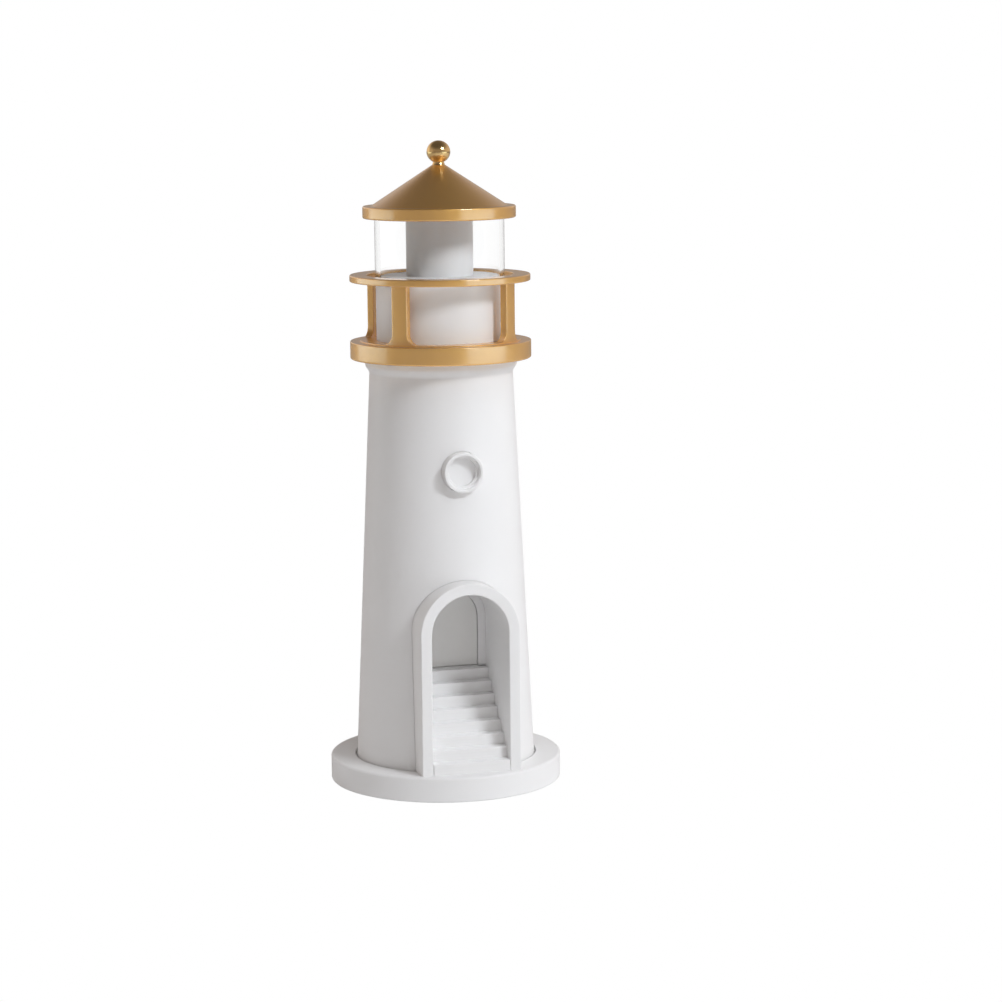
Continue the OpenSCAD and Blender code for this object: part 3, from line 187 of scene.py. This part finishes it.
class Shell:
    """Points and faces of one piece."""

    def __init__(self):
        self.verts, self.faces = [], []

    def loop(self, points):
        """Adds points and returns their numbers."""
        first = len(self.verts)
        self.verts.extend(points)
        return list(range(first, len(self.verts)))

    def grid(self, rows, wrap_rows=False, wrap_cols=False):
        """Quads between rows of points. All rows have the same length."""
        loops = [self.loop(row) for row in rows]
        if wrap_rows:
            loops.append(loops[0])
        count = len(loops[0])
        for low, high in zip(loops, loops[1:]):
            for i in range(count if wrap_cols else count - 1):
                j = (i + 1) % count
                self.faces.append((low[i], low[j], high[j], high[i]))
        return self

    def cap(self, points):
        """One flat face."""
        self.faces.append(tuple(self.loop(points)))
        return self

    def sleeve(self, loops):
        """A closed skin over a run of loops, with a flat face at each end."""
        self.grid(loops, wrap_cols=True)
        return self.cap(loops[0]).cap(loops[-1])

    def lathe(self, outline, closed=True, segments=SEGMENTS, place=lambda x, y, h: (x, y, h)):
        """Turns an outline of (radius, height) round an axis. One that isn't closed ends on the axis."""
        turn = [2 * math.pi * i / segments for i in range(segments)]
        rows = [[place(r * math.cos(a), r * math.sin(a), h) for a in turn] for r, h in outline]
        return self.grid(rows, wrap_rows=closed, wrap_cols=True)

    def pipe(self, in_r, out_r, low, high):
        """A plain pipe round the lamp's axis."""
        return self.lathe([(in_r, low), (out_r, low), (out_r, high), (in_r, high)])

    def rod(self, x, y, r, low, high):
        """A plain upright rod."""
        return self.lathe([(0, low), (r, low), (r, high), (0, high)], closed=False,
                          segments=ROD_SEGMENTS, place=lambda px, py, h: (x + px, y + py, h))

    def block(self, low, high):
        """A plain block between two corners."""
        (x0, y0, z0), (x1, y1, z1) = low, high
        return self.sleeve([[(x0, y0, z), (x1, y0, z), (x1, y1, z), (x0, y1, z)] for z in (z0, z1)])


def out_of_porthole(x, y, h):
    """Lays a lathe's axis along -Y at the porthole's height."""
    return (x, -h, PORTHOLE_Z + y)


def rounded(corners, steps=5):
    """An outline whose corners (x, y, radius) are rounded. A corner without a radius stays sharp."""
    out = []
    for i, corner in enumerate(corners):
        p = Vector(corner[:2])
        if len(corner) < 3:
            out.append(tuple(p))
            continue
        radius = corner[2]
        a = (Vector(corners[i - 1][:2]) - p).normalized()
        b = (Vector(corners[(i + 1) % len(corners)][:2]) - p).normalized()
        half = a.angle(b) / 2
        centre = p + (a + b).normalized() * (radius / math.sin(half))
        start, end = (p + v * (radius / math.tan(half)) - centre for v in (a, b))
        first, last = math.atan2(start.y, start.x), math.atan2(end.y, end.x)
        sweep = (last - first + math.pi) % (2 * math.pi) - math.pi
        for k in range(steps + 1):
            angle = first + sweep * k / steps
            out.append((centre.x + radius * math.cos(angle), centre.y + radius * math.sin(angle)))
    return out


def piece(name, shell, slot, body, replaced):
    """Makes the object in place of a CAD node, and files it under its body and slot."""
    mesh = bpy.data.meshes.new(name)
    bm = bmesh.new()
    points = [bm.verts.new([c * MM for c in v]) for v in shell.verts]
    for face in shell.faces:
        bm.faces.new([points[i] for i in face])
    bmesh.ops.remove_doubles(bm, verts=bm.verts, dist=MERGE_DISTANCE)
    bmesh.ops.recalc_face_normals(bm, faces=bm.faces)
    bm.to_mesh(mesh)
    bm.free()
    mesh.shade_smooth()
    mesh.set_sharp_from_angle(angle=SHARP_ANGLE)
    mesh.materials.append(MATERIALS[slot])
    obj = bpy.data.objects.new(name, mesh)
    bpy.context.scene.collection.objects.link(obj)
    normals = obj.modifiers.new("normals", "WEIGHTED_NORMAL")
    normals.keep_sharp = True
    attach(obj, body)
    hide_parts(replaced)


# A row of a wall with openings: its height, the outer and inner radius as functions of the height, the
# half widths of the front and rear openings, and the height of the rear opening's edge
Row = namedtuple("Row", "z outer inner front rear edge")


def wall_line(row, radius, side, columns):
    """Points along a row, from the front opening to the rear one. Near the rear they leave the row's
    height for the height of the opening's edge."""
    pull_from, pull_over = 0.8, 0.2
    front, rear = (math.asin(half / radius(row.z)) for half in (row.front, row.rear))
    points = []
    for i in range(columns + 1):
        share = i / columns
        pull = max(0.0, (share - pull_from) / pull_over) ** 2
        z = row.z + (row.edge - row.z) * pull
        angle = front + (math.pi - rear - front) * share
        r = radius(z)
        points.append((side * r * math.sin(angle), -r * math.cos(angle), z))
    return points


def walled(rows, columns):
    """A round wall with openings in front and at the rear, cut square to the view."""
    shell = Shell()
    for side in (1, -1):
        outer = [wall_line(row, row.outer, side, columns) for row in rows]
        inner = [wall_line(row, row.inner, side, columns) for row in rows]
        shell.grid(outer).grid(inner)
        for column, widths in ((0, [row.front for row in rows]), (-1, [row.rear for row in rows])):
            for k in range(len(rows) - 1):
                if widths[k] or widths[k + 1]:
                    shell.grid([[outer[i][column], inner[i][column]] for i in (k, k + 1)])
        for k in (0, -1):
            shell.grid([outer[k], inner[k]])
    return shell


def round_opening(middle, radius):
    """Heights and half widths of a round opening, from its lowest point to its highest."""
    steps = 32
    for k in range(steps + 1):
        a = math.pi * (k / steps - 0.5)
        yield middle + radius * math.sin(a), radius * math.cos(a) if 0 < k < steps else 0.0


def tower_r(z):
    return TOWER_FOOT_R - TOWER_TAPER * (z - BASE_TOP) / (NECK_Z - BASE_TOP)


def tower_rows():
    """Rows of the tower's wall from the foot to the lip, closer together round each opening. Heights
    that are plain numbers only space out the rows between."""
    wall_t, foot_edge, flare_w, flare_h = 2.4, 1.0, 1.5, 3.4
    door_half_w, porthole_hole_r = DOOR_W + SEAT_GAP, 7.65
    inlet_z, inlet_w, inlet_h, inlet_spread = 20.83, 9.54, 3.86, 8
    arch_steps, flare_steps = 30, 16
    rows = []

    def inner(z):
        return tower_r(z) - wall_t

    def foot(z):
        drop = max(0.0, SOCKET_Z + foot_edge - z)
        return tower_r(z) - foot_edge + math.sqrt(foot_edge * foot_edge - drop * drop)

    def lip(z):
        lift = min(1.0, max(0.0, (z - NECK_Z) / flare_h))
        return NECK_R + flare_w / 2 * (1 - math.cos(math.pi * lift))

    def add(z, outer=tower_r, front=0.0, rear=0.0, edge=None):
        rows.append(Row(z, outer, inner, front, rear, z if edge is None else edge))

    for degrees in range(0, 91, 15):
        add(SOCKET_Z + foot_edge - foot_edge * math.cos(math.radians(degrees)), foot, door_half_w)
    for z in (12, inlet_z - 5):
        add(z, front=door_half_w)
    # The inlet's edge, from the middle of its foot over its round end to the middle of its head
    flat_half_w, end_r = (inlet_w - inlet_h) / 2, inlet_h / 2
    edge = [(x * flat_half_w, -end_r) for x in (0, 0.5)]
    edge += [(flat_half_w + end_r * math.cos(a), end_r * math.sin(a))
             for a in (math.radians(degrees) for degrees in range(-90, 91, 15))]
    edge += [(x * flat_half_w, end_r) for x in (0.5, 0)]
    for k, (half_w, height) in enumerate(edge):
        add(inlet_z - inlet_spread / 2 + inlet_spread * k / (len(edge) - 1), front=door_half_w,
            rear=half_w, edge=inlet_z + height)
    for z in range(26, 57, 6):
        add(z, front=door_half_w)
    for k in range(arch_steps + 1):
        a = math.pi / 2 * k / arch_steps
        add(ARCH_Z + door_half_w * math.sin(a),
            front=door_half_w * math.cos(a) if k < arch_steps else 0.0)
    for z in (84, 88, 93, 98, 103, 108, 111):
        add(z)
    for z, half_w in round_opening(PORTHOLE_Z, porthole_hole_r):
        add(z, front=half_w)
    for z in (132, 136, 141, 146, 151):
        add(z)
    for k in range(flare_steps + 1):
        add(NECK_Z + flare_h * k / flare_steps, lip)
    add(DECK_Z, lip)
    return rows


def arch_loop(half_w, foot, y):
    """An arched outline in the plane y, from the right foot over the top to the left foot."""
    steps = 48
    points = [(half_w, y, foot)]
    for k in range(steps + 1):
        a = math.pi * k / steps
        points.append((half_w * math.cos(a), y, ARCH_Z + half_w * math.sin(a)))
    points.append((-half_w, y, foot))
    return points


def make_base():
    base_r, heel_z, socket_r, cavity_r, cavity_top = 43.8, 0.5, 34.595, 41.8, 6.3
    shell = Shell().lathe(rounded([
        (0, SOCKET_Z), (socket_r, SOCKET_Z), (socket_r, BASE_TOP, 0.15), (base_r, BASE_TOP, 1.0),
        (base_r, heel_z, 0.6), (cavity_r, heel_z, 0.2), (cavity_r, cavity_top), (0, cavity_top),
    ]), closed=False)
    # Posts for the chassis and the charge board stand on the base's floor, and bosses for the cover's
    # screws hang under it. All of them start in the middle of its thickness.
    floor_z = 7.3
    chassis_x, chassis_y, chassis_r, chassis_z = 10.1, 6.6, 3.0, 12.3
    charge_x, charge_ys, charge_r, charge_z = 6.3, (15.68, 26.48), 2.2, 17.6
    boss_at, boss_r, boss_z = 36.9, 2.6, 3.1
    for side in (-1, 1):
        shell.rod(side * chassis_x, chassis_y, chassis_r, floor_z, chassis_z)
    for side in (-1, 1):
        for y in charge_ys:
            shell.rod(side * charge_x, y, charge_r, floor_z, charge_z)
    for a in (math.radians(degrees) for degrees in (60, 180, 300)):
        shell.rod(boss_at * math.cos(a), boss_at * math.sin(a), boss_r, boss_z, floor_z)
    piece("base_shell", shell, "white_shell", "lamp_body", "base_disc")


def make_tower():
    flange_in_r, flange_r, flange_t, deck_gap = 16, 24.8, 2.7, 0.02
    shell = walled(tower_rows(), columns=72)
    shell.pipe(flange_in_r, flange_r, DECK_Z - flange_t, DECK_Z - deck_gap)
    piece("tower_wall", shell, "white_shell", "lamp_body", "tower_shell")


def make_doorway():
    block_depth, alcove_depth, liner_t, edge_r, arch_steps = 17.12, DOOR_FACE + ALCOVE_BACK, 2, 0.5, 60
    section = rounded([
        (DOOR_W, 0, edge_r), (DOOR_W, block_depth), (DOOR_IN + liner_t, block_depth),
        (DOOR_IN + liner_t, alcove_depth), (DOOR_IN, alcove_depth), (DOOR_IN, 0, edge_r),
    ])
    stations = [[(x, depth - DOOR_FACE, BASE_TOP) for x, depth in section]]
    for k in range(arch_steps + 1):
        a = math.pi * k / arch_steps
        stations.append([(x * math.cos(a), depth - DOOR_FACE, ARCH_Z + x * math.sin(a))
                         for x, depth in section])
    stations.append([(-x, depth - DOOR_FACE, BASE_TOP) for x, depth in section])
    shell = Shell().sleeve(stations)

    # The alcove's back wall: an arch round the lit panel's hole, which laps a block under the hole
    hole_half_w, hole_foot, wall_half_w, lap = 11.7, 43.58, DOOR_IN + 1, 0.6
    loops = [arch_loop(half_w, hole_foot - lap, y)
             for half_w, y in ((hole_half_w, ALCOVE_WALL), (wall_half_w, ALCOVE_WALL),
                               (wall_half_w, ALCOVE_BACK), (hole_half_w, ALCOVE_BACK))]
    shell.grid(loops, wrap_rows=True)
    for end in (0, -1):
        shell.cap([loop[end] for loop in loops])
    shell.block((-wall_half_w, ALCOVE_WALL, BASE_TOP), (wall_half_w, ALCOVE_BACK, hole_foot))
    piece("doorway", shell, "white_shell", "lamp_body", "door_surround")


def make_stair():
    length, count, riser, half_w = 32.504, 8, 4.16, 14.6
    wall_t, nose_r, inner_r, rib_half_t = 1.8, 0.35, 0.12, 0.8
    tread, top = length / count, count * riser
    drop = wall_t * math.sqrt(1 + (riser / tread) ** 2)
    foot = drop * tread / riser
    shell = Shell()

    def slab(outline, x0, x1):
        shell.sleeve([[(x, d - DOOR_FACE, BASE_TOP + h) for d, h in outline] for x in (x0, x1)])

    corners = [(0, 0)]
    for i in range(count):
        level = (i + 1) * riser
        corners += [(i * tread, level, nose_r), ((i + 1) * tread, level, inner_r)]
    corners[-1] = (length, top)
    corners += [(length, top - drop), (foot, 0)]
    slab(rounded(corners), -half_w, half_w)
    for share in (-0.9, 0, 0.9):
        slab([(foot / 2, 0), (length, 0), (length, top - drop / 2)],
             share * half_w - rib_half_t, share * half_w + rib_half_t)
    piece("stair", shell, "white_shell", "lamp_body", "stair_flight")


def make_lit_panel():
    half_w, foot, recess, into_flange = 11.5, 43.78, 0.4, 0.5
    flange_half_w, flange_foot, flange_t = 12.7, 42.38, 1
    face, back = ALCOVE_WALL + recess, ALCOVE_BACK + into_flange
    # The face's rounded edge: how far each loop lies inside the outline and behind the face
    edge = ((0.25, 0), (0.07, 0.07), (0, 0.25))
    shell = Shell().sleeve(
        [arch_loop(half_w - inset, foot + inset, face + depth) for inset, depth in edge]
        + [arch_loop(half_w, foot, back)])
    shell.sleeve([arch_loop(flange_half_w, flange_foot, y)
                  for y in (ALCOVE_BACK, ALCOVE_BACK + flange_t)])
    piece("lit_panel", shell, "stair_light_panel", "lamp_body", "stair_diffuser")


def make_porthole():
    # Heights of the outlines are distances in front of the tower's axis
    ring_r, mouth_r, rim_r = 7.55, 6.2, 5.25
    back, face, mouth_end, rim_end = 22.87, 31.567, 29.567, 27.767
    shell = Shell().lathe(rounded([
        (ring_r, back), (ring_r, face, 0.4), (mouth_r, face, 0.4), (mouth_r, mouth_end, 0.1),
        (rim_r, mouth_end, 0.25), (rim_r, rim_end, 0.15), (mouth_r, rim_end), (mouth_r, back),
    ]), segments=SMALL_SEGMENTS, place=out_of_porthole)
    piece("porthole", shell, "white_shell", "lamp_body", "porthole_ring")

    button_r, skirt_r, skirt_end, disc_back = 5.9, 4.9, 24.567, 26.267
    stem_r, stem_end = 1.6, 23.567
    shell = Shell().lathe(rounded([
        (0, rim_end), (button_r, rim_end, 0.3), (button_r, skirt_end), (skirt_r, skirt_end),
        (skirt_r, disc_back), (stem_r, disc_back), (stem_r, stem_end), (0, stem_end),
    ]), closed=False, segments=SMALL_SEGMENTS, place=out_of_porthole)
    piece("button_cap", shell, "white_shell", "button", "mode_button")


def make_deck():
    bore_r, spigot_r, deck_r, spigot_z = 12, 15.9, 33.96, DECK_Z - 2.2
    shell = Shell().lathe(rounded([
        (bore_r, spigot_z), (spigot_r, spigot_z), (spigot_r, DECK_Z), (deck_r, DECK_Z, 0.7),
        (deck_r, DECK_TOP, 0.35), (bore_r, DECK_TOP),
    ]))
    piece("deck", shell, "satin_gold", "lamp_body", "gallery_deck")


def upright_loops(turn, foot_z):
    """Loops of one of the railing's uprights, from its spread foot to the top ring."""
    in_r, thickness, half_w, fillet_r, edge_r, columns = 27.6, 2.7, 3.25, 4, 0.3, 6
    sunk, fillet_steps = 0.2, 12
    foot_half_w, margin = half_w + fillet_r, 2 * edge_r
    rows = [(foot_half_w, foot_z - sunk), (foot_half_w, foot_z)]
    for k in range(1, fillet_steps + 1):
        a = math.radians(90 - 90 / fillet_steps * k)
        rows.append((foot_half_w - fillet_r * math.cos(a), foot_z + fillet_r - fillet_r * math.sin(a)))
    # The last of the straight rows lies inside the top ring
    rows += [(half_w, z) for z in (176, 180, 184, 188, 191.2)]
    loops = []
    for half, z in rows:
        line = [-half + margin + (2 * half - 2 * margin) * k / columns for k in range(columns + 1)]
        corners = rounded([(-half, 0, edge_r), (half, 0, edge_r),
                           (half, thickness, edge_r), (-half, thickness, edge_r)], steps=3)
        # Points along the inner and outer faces, so that they follow the curve of the gallery
        outline = (corners[:4] + [(x, 0) for x in line] + corners[4:12]
                   + [(x, thickness) for x in reversed(line)] + corners[12:])
        points = []
        for x, depth in outline:
            y = math.sqrt((in_r + depth) ** 2 - x * x)
            points.append((math.cos(turn) * y - math.sin(turn) * x,
                           math.sin(turn) * y + math.cos(turn) * x, z))
        loops.append(points)
    return loops


def make_railing():
    foot_in_r, foot_r, foot_z = 24.2, 30.3, DECK_TOP + 0.4
    ring_in_r, ring_r, ring_z, ring_top = 27.4, 33.85, 189.96, 192.5
    shell = Shell().lathe(rounded([
        (foot_in_r, DECK_TOP), (foot_r, DECK_TOP), (foot_r, foot_z, 0.15), (foot_in_r, foot_z, 0.15),
    ]))
    shell.lathe(rounded([
        (ring_in_r, ring_z, 0.35), (ring_r, ring_z, 0.45), (ring_r, ring_top, 0.45),
        (ring_in_r, ring_top, 0.35),
    ]))
    for degrees in (45, 135, 225, 315):
        shell.sleeve(upright_loops(math.radians(degrees), foot_z))
    piece("railing", shell, "satin_gold", "lamp_body", "gallery_railing")


def make_drum():
    in_r, drum_r, bore_r, plate_z, top = 22, 24, 7.05, 187.7, 190.7
    shell = Shell().lathe(rounded([
        (in_r, DECK_TOP), (drum_r, DECK_TOP), (drum_r, top, 0.3), (bore_r, top),
        (bore_r, plate_z), (in_r, plate_z),
    ]))
    piece("drum_wall", shell, "white_shell", "lamp_body", "drum")


def make_turntable():
    bore_r, hub_r, rim_in_r, hub_z, plate_z = 4.6, 7, 22.35, 184.9, 190.9
    groove_r, groove_low, groove_high = 6.3, 185.9, 186.8
    spigot_in_r, spigot_r, spigot_top = 9.54, 10.94, 194.1
    pin_y, pin_r, pin_low, pin_high = -17.6, 1.2, 189.8, 191.2
    pillar_half_w, pillar_front, pillar_rear, pillar_top = 3.5, 5.6, 8.6, 195.45
    inside_floor = 191.8
    shell = Shell().lathe(rounded([
        (bore_r, hub_z), (hub_r, hub_z), (hub_r, groove_low), (groove_r, groove_low),
        (groove_r, groove_high), (hub_r, groove_high), (hub_r, plate_z), (TUBE_R, plate_z, 0.15),
        (TUBE_R, TURN_TOP, 0.15), (rim_in_r, TURN_TOP), (rim_in_r, LANTERN_FLOOR, 0.15),
        (bore_r, LANTERN_FLOOR),
    ]))
    # The barrel's spigot, the stop pin, and the pillar behind the projector
    shell.pipe(spigot_in_r, spigot_r, inside_floor, spigot_top)
    shell.rod(0, pin_y, pin_r, pin_low, pin_high)
    shell.block((-pillar_half_w, pillar_front, inside_floor), (pillar_half_w, pillar_rear, pillar_top))
    piece("lantern_floor", shell, "white_shell", "lantern_head", "turntable")


def make_tube():
    in_r = 22.45
    shell = Shell().lathe(rounded([
        (in_r, TURN_TOP, 0.15), (TUBE_R, TURN_TOP, 0.15), (TUBE_R, TUBE_TOP, 0.2), (in_r, TUBE_TOP, 0.2),
    ], steps=3))
    piece("tube", shell, "clear_tube", "lantern_head", "lantern_tube")


def make_barrel():
    barrel_r, in_r, top, lens_z, opening_r = 12.54, 11.04, 214.4, 202.75, 7.3
    below, above = ([(z, 0.0) for z in heights] for heights in ((LANTERN_FLOOR, 193.8), (212.4, top)))
    rows = [Row(z, lambda z: barrel_r, lambda z: in_r, 0.0, rear, z)
            for z, rear in (*below, *round_opening(lens_z, opening_r), *above)]
    piece("barrel", walled(rows, columns=48), "white_shell", "lantern_head", "projector_barrel")


def make_roof():
    rim_r, rim_z, ledge_z, cone_r, tip_r = 28.61, 213.4, 218, 25.48, 2.56
    seat_r, hole_r = TUBE_R + SEAT_GAP, 1.35
    cone_in_r, cone_in_z, tip_in_r, tip_in_z = 22.65, 217.454, 4.2, 229.448
    shell = Shell().lathe(rounded([
        (seat_r, rim_z), (rim_r, rim_z, 0.6), (rim_r, ledge_z, 0.6), (cone_r, ledge_z, 0.3),
        (tip_r, TIP_Z, 0.3), (hole_r, TIP_Z), (hole_r, tip_in_z), (tip_in_r, tip_in_z),
        (cone_in_r, cone_in_z), (cone_in_r, TUBE_TOP), (seat_r, TUBE_TOP),
    ]))
    piece("roof", shell, "satin_gold", "lantern_head", "roof_cap")


def make_ball():
    ball_z, ball_r, ball_half_h = 237.8, 4.43, 4.2
    step_degrees, steps = 3.8, 40
    collar_r, stud_r, stud_end = 2.48, 1.25, TIP_Z - 12
    # The ball's outline stops short of its lowest point, where the neck starts and spreads to the roof
    outline = [(ball_r * math.sin(a), ball_z + ball_half_h * math.cos(a))
               for a in (math.radians(k * step_degrees) for k in range(steps + 1))]
    x, z = outline[-1]
    outline += [(x + (collar_r - x) * t ** 1.5, z + (TIP_Z - z) * t) for t in (0.15, 0.3, 0.5, 0.75, 1.0)]
    outline += [(stud_r, TIP_Z), (stud_r, stud_end), (0, stud_end)]
    shell = Shell().lathe(outline, closed=False, segments=SMALL_SEGMENTS)
    piece("ball", shell, "bright_gold", "lantern_head", "finial")


# Stage, light and camera

def towards(azimuth, elevation):
    """A unit vector. Azimuth 0 is in front of the doorway and 90 is to its right."""
    a, e = math.radians(azimuth), math.radians(elevation)
    return Vector((math.sin(a) * math.cos(e), -math.cos(a) * math.cos(e), math.sin(e)))


def math_node(tree, operation, *values, clamp=False):
    """The output of a math node. Each value is a number or a node's output."""
    node = tree.nodes.new("ShaderNodeMath")
    node.operation, node.use_clamp = operation, clamp
    for socket, value in zip(node.inputs, values):
        if isinstance(value, (int, float)):
            socket.default_value = value
        else:
            tree.links.new(value, socket)
    return node.outputs["Value"]


def white_to_camera(tree, shader, glow, output):
    """Shows plain white to the camera, also through the clear tube, and the shader to every other ray."""
    path = tree.nodes.new("ShaderNodeLightPath").outputs
    through = math_node(tree, "SUBTRACT", path["Is Transmission Ray"], path["Diffuse Depth"], clamp=True)
    seen = math_node(tree, "MAXIMUM", path["Is Camera Ray"], through)
    mix = tree.nodes.new("ShaderNodeMixShader")
    tree.links.new(seen, mix.inputs["Fac"])
    tree.links.new(shader.outputs[0], mix.inputs[1])
    tree.links.new(glow.outputs[0], mix.inputs[2])
    tree.links.new(mix.outputs[0], output.inputs["Surface"])


def make_floor():
    reach = 9
    paper = finish("floor_paper", (0.90, 0.90, 0.90), (0.92, 0.92, 0.92), (0.7, 0.8), 0.002, grain=0.02)
    nodes = paper.node_tree.nodes
    white_to_camera(paper.node_tree, nodes["Principled BSDF"], nodes.new("ShaderNodeEmission"),
                    nodes["Material Output"])
    mesh = bpy.data.meshes.new("floor")
    mesh.from_pydata([(-reach, -reach, 0), (reach, -reach, 0), (reach, reach, 0), (-reach, reach, 0)],
                     [], [(0, 1, 2, 3)])
    mesh.materials.append(paper)
    floor = bpy.data.objects.new("floor", mesh)
    bpy.context.scene.collection.objects.link(floor)


def make_world():
    """The studio round the lamp: even walls with soft patches on them, and a darker ceiling."""
    world = bpy.data.worlds.new("studio")
    bpy.context.scene.world = world
    world.use_nodes = True
    tree = world.node_tree
    nodes, links = tree.nodes, tree.links
    direction = nodes.new("ShaderNodeTexCoord").outputs["Generated"]
    light = 0.31
    # Azimuth, elevation, angles from the patch's middle at which it starts to fade and ends, strength
    for azimuth, elevation, full, end, strength in (
            (165, 4, 35, 95, 0.06), (100, 8, 25, 70, 0.32), (-105, 6, 10, 50, 0.2),
            (-150, 6, 15, 45, 0.5)):
        dot = nodes.new("ShaderNodeVectorMath")
        dot.operation = "DOT_PRODUCT"
        dot.inputs[1].default_value = towards(azimuth, elevation)
        links.new(direction, dot.inputs[0])
        patch = nodes.new("ShaderNodeMapRange")
        patch.interpolation_type = "SMOOTHSTEP"
        set_inputs(patch, {"From Min": math.cos(math.radians(end)),
                           "From Max": math.cos(math.radians(full)), "To Max": strength})
        links.new(dot.outputs["Value"], patch.inputs["Value"])
        light = math_node(tree, "ADD", light, patch.outputs["Result"])
    height = nodes.new("ShaderNodeSeparateXYZ")
    links.new(direction, height.inputs["Vector"])
    ceiling = nodes.new("ShaderNodeMapRange")
    ceiling.interpolation_type = "SMOOTHSTEP"
    set_inputs(ceiling, {"From Min": 0.25, "From Max": 0.8, "To Min": 1.0, "To Max": 0.38})
    links.new(height.outputs["Z"], ceiling.inputs["Value"])
    light = math_node(tree, "MULTIPLY", light, ceiling.outputs["Result"])
    # Shadow rays pass the clear tube, so the studio already lights what is inside it. A ray that
    # leaves through the tube finds no light, or the same light would count twice.
    through = nodes.new("ShaderNodeLightPath").outputs["Is Transmission Ray"]
    light = math_node(tree, "MULTIPLY", light, math_node(tree, "SUBTRACT", 1.0, through))
    walls = nodes["Background"]
    set_inputs(walls, {"Color": (1.0, 0.92, 0.88, 1)})
    links.new(light, walls.inputs["Strength"])
    paper = nodes.new("ShaderNodeBackground")
    set_inputs(paper, {"Color": (1.0, 1.0, 1.0, 1)})
    white_to_camera(tree, walls, paper, nodes["World Output"])


def area_light(name, azimuth, elevation, distance, size, power, colour, aim=0.12,
               diffuse=True, glossy=True):
    """A soft light that looks at the lamp's axis at the height aim, in metres and watts."""
    light = bpy.data.lights.new(name, "AREA")
    light.shape = "RECTANGLE"
    light.size, light.size_y = size
    light.energy, light.color = power, colour
    obj = bpy.data.objects.new(name, light)
    bpy.context.scene.collection.objects.link(obj)
    obj.visible_camera = obj.visible_transmission = False
    obj.visible_diffuse, obj.visible_glossy = diffuse, glossy
    back = towards(azimuth, elevation)
    obj.location = Vector((0, 0, aim)) + back * distance
    obj.rotation_mode = "QUATERNION"
    obj.rotation_quaternion = (-back).to_track_quat("-Z", "Y")


def make_camera():
    """A pinhole fitted to the round edges in the photograph."""
    azimuth, yaw, pitch, roll = (math.radians(a) for a in (14.8, 1.202, 8.718, 0.528))
    distance, height = 1.051853, 0.267585
    forward = Vector((math.sin(yaw) * math.cos(pitch), math.cos(yaw) * math.cos(pitch), -math.sin(pitch)))
    level = Vector((math.cos(yaw), -math.sin(yaw), 0))
    down = -level.cross(forward)
    right = level * math.cos(roll) + down * math.sin(roll)
    up = level * math.sin(roll) - down * math.cos(roll)
    turn = Matrix.Rotation(-azimuth, 3, "Z")
    axes = Matrix((right, up, -forward)).transposed()
    camera = bpy.data.objects.new("camera", bpy.data.cameras.new("camera"))
    bpy.context.scene.collection.objects.link(camera)
    camera.data.sensor_width, camera.data.lens = 36, 100.985
    camera.matrix_world = (Matrix.Translation(turn @ Vector((0, -distance, height)))
                           @ (turn @ axes).to_4x4())
    bpy.context.scene.camera = camera


make_base()
make_tower()
make_doorway()
make_stair()
make_lit_panel()
make_porthole()
make_deck()
make_railing()
make_drum()
make_turntable()
make_tube()
make_barrel()
make_roof()
make_ball()
make_floor()
make_world()

# Light for the matt surfaces alone, and highlights in the gold. The key's highlight stands in front of
# the key, because a light hides what is behind it.
# Name, azimuth, elevation, distance, size, power, colour
area_light("key", 31, 38, 1.3, (0.26, 0.26), 7.7, (0.94, 0.98, 1.03), glossy=False)
area_light("key_shine", 31, 38, 1.27, (0.30, 0.30), 5.4, (0.90, 1.0, 1.08), diffuse=False)
area_light("right_fill", 98, 2, 1.2, (0.9, 0.3), 1.7, (0.98, 1.0, 1.02), glossy=False)
area_light("left_fill", -138, 2, 1.2, (0.8, 0.3), 1.1, (1.0, 0.99, 0.98), glossy=False)
area_light("top_fill", 10, 65, 1.3, (0.5, 0.5), 3.4, (0.97, 1.0, 1.03), glossy=False)
area_light("table_glow", 12, 5, 0.26, (0.30, 0.06), 0.033, (0.97, 0.99, 1.0), 0.02, glossy=False)
area_light("right_strip", 46, -1, 1.2, (1.28, 0.14), 0.98, (0.80, 1.04, 1.18), diffuse=False)
area_light("left_strip", -115, -1, 1.2, (1.28, 0.14), 0.80, (0.84, 1.06, 1.08), diffuse=False)
make_camera()
bpy.context.scene.view_settings.view_transform = "Standard"
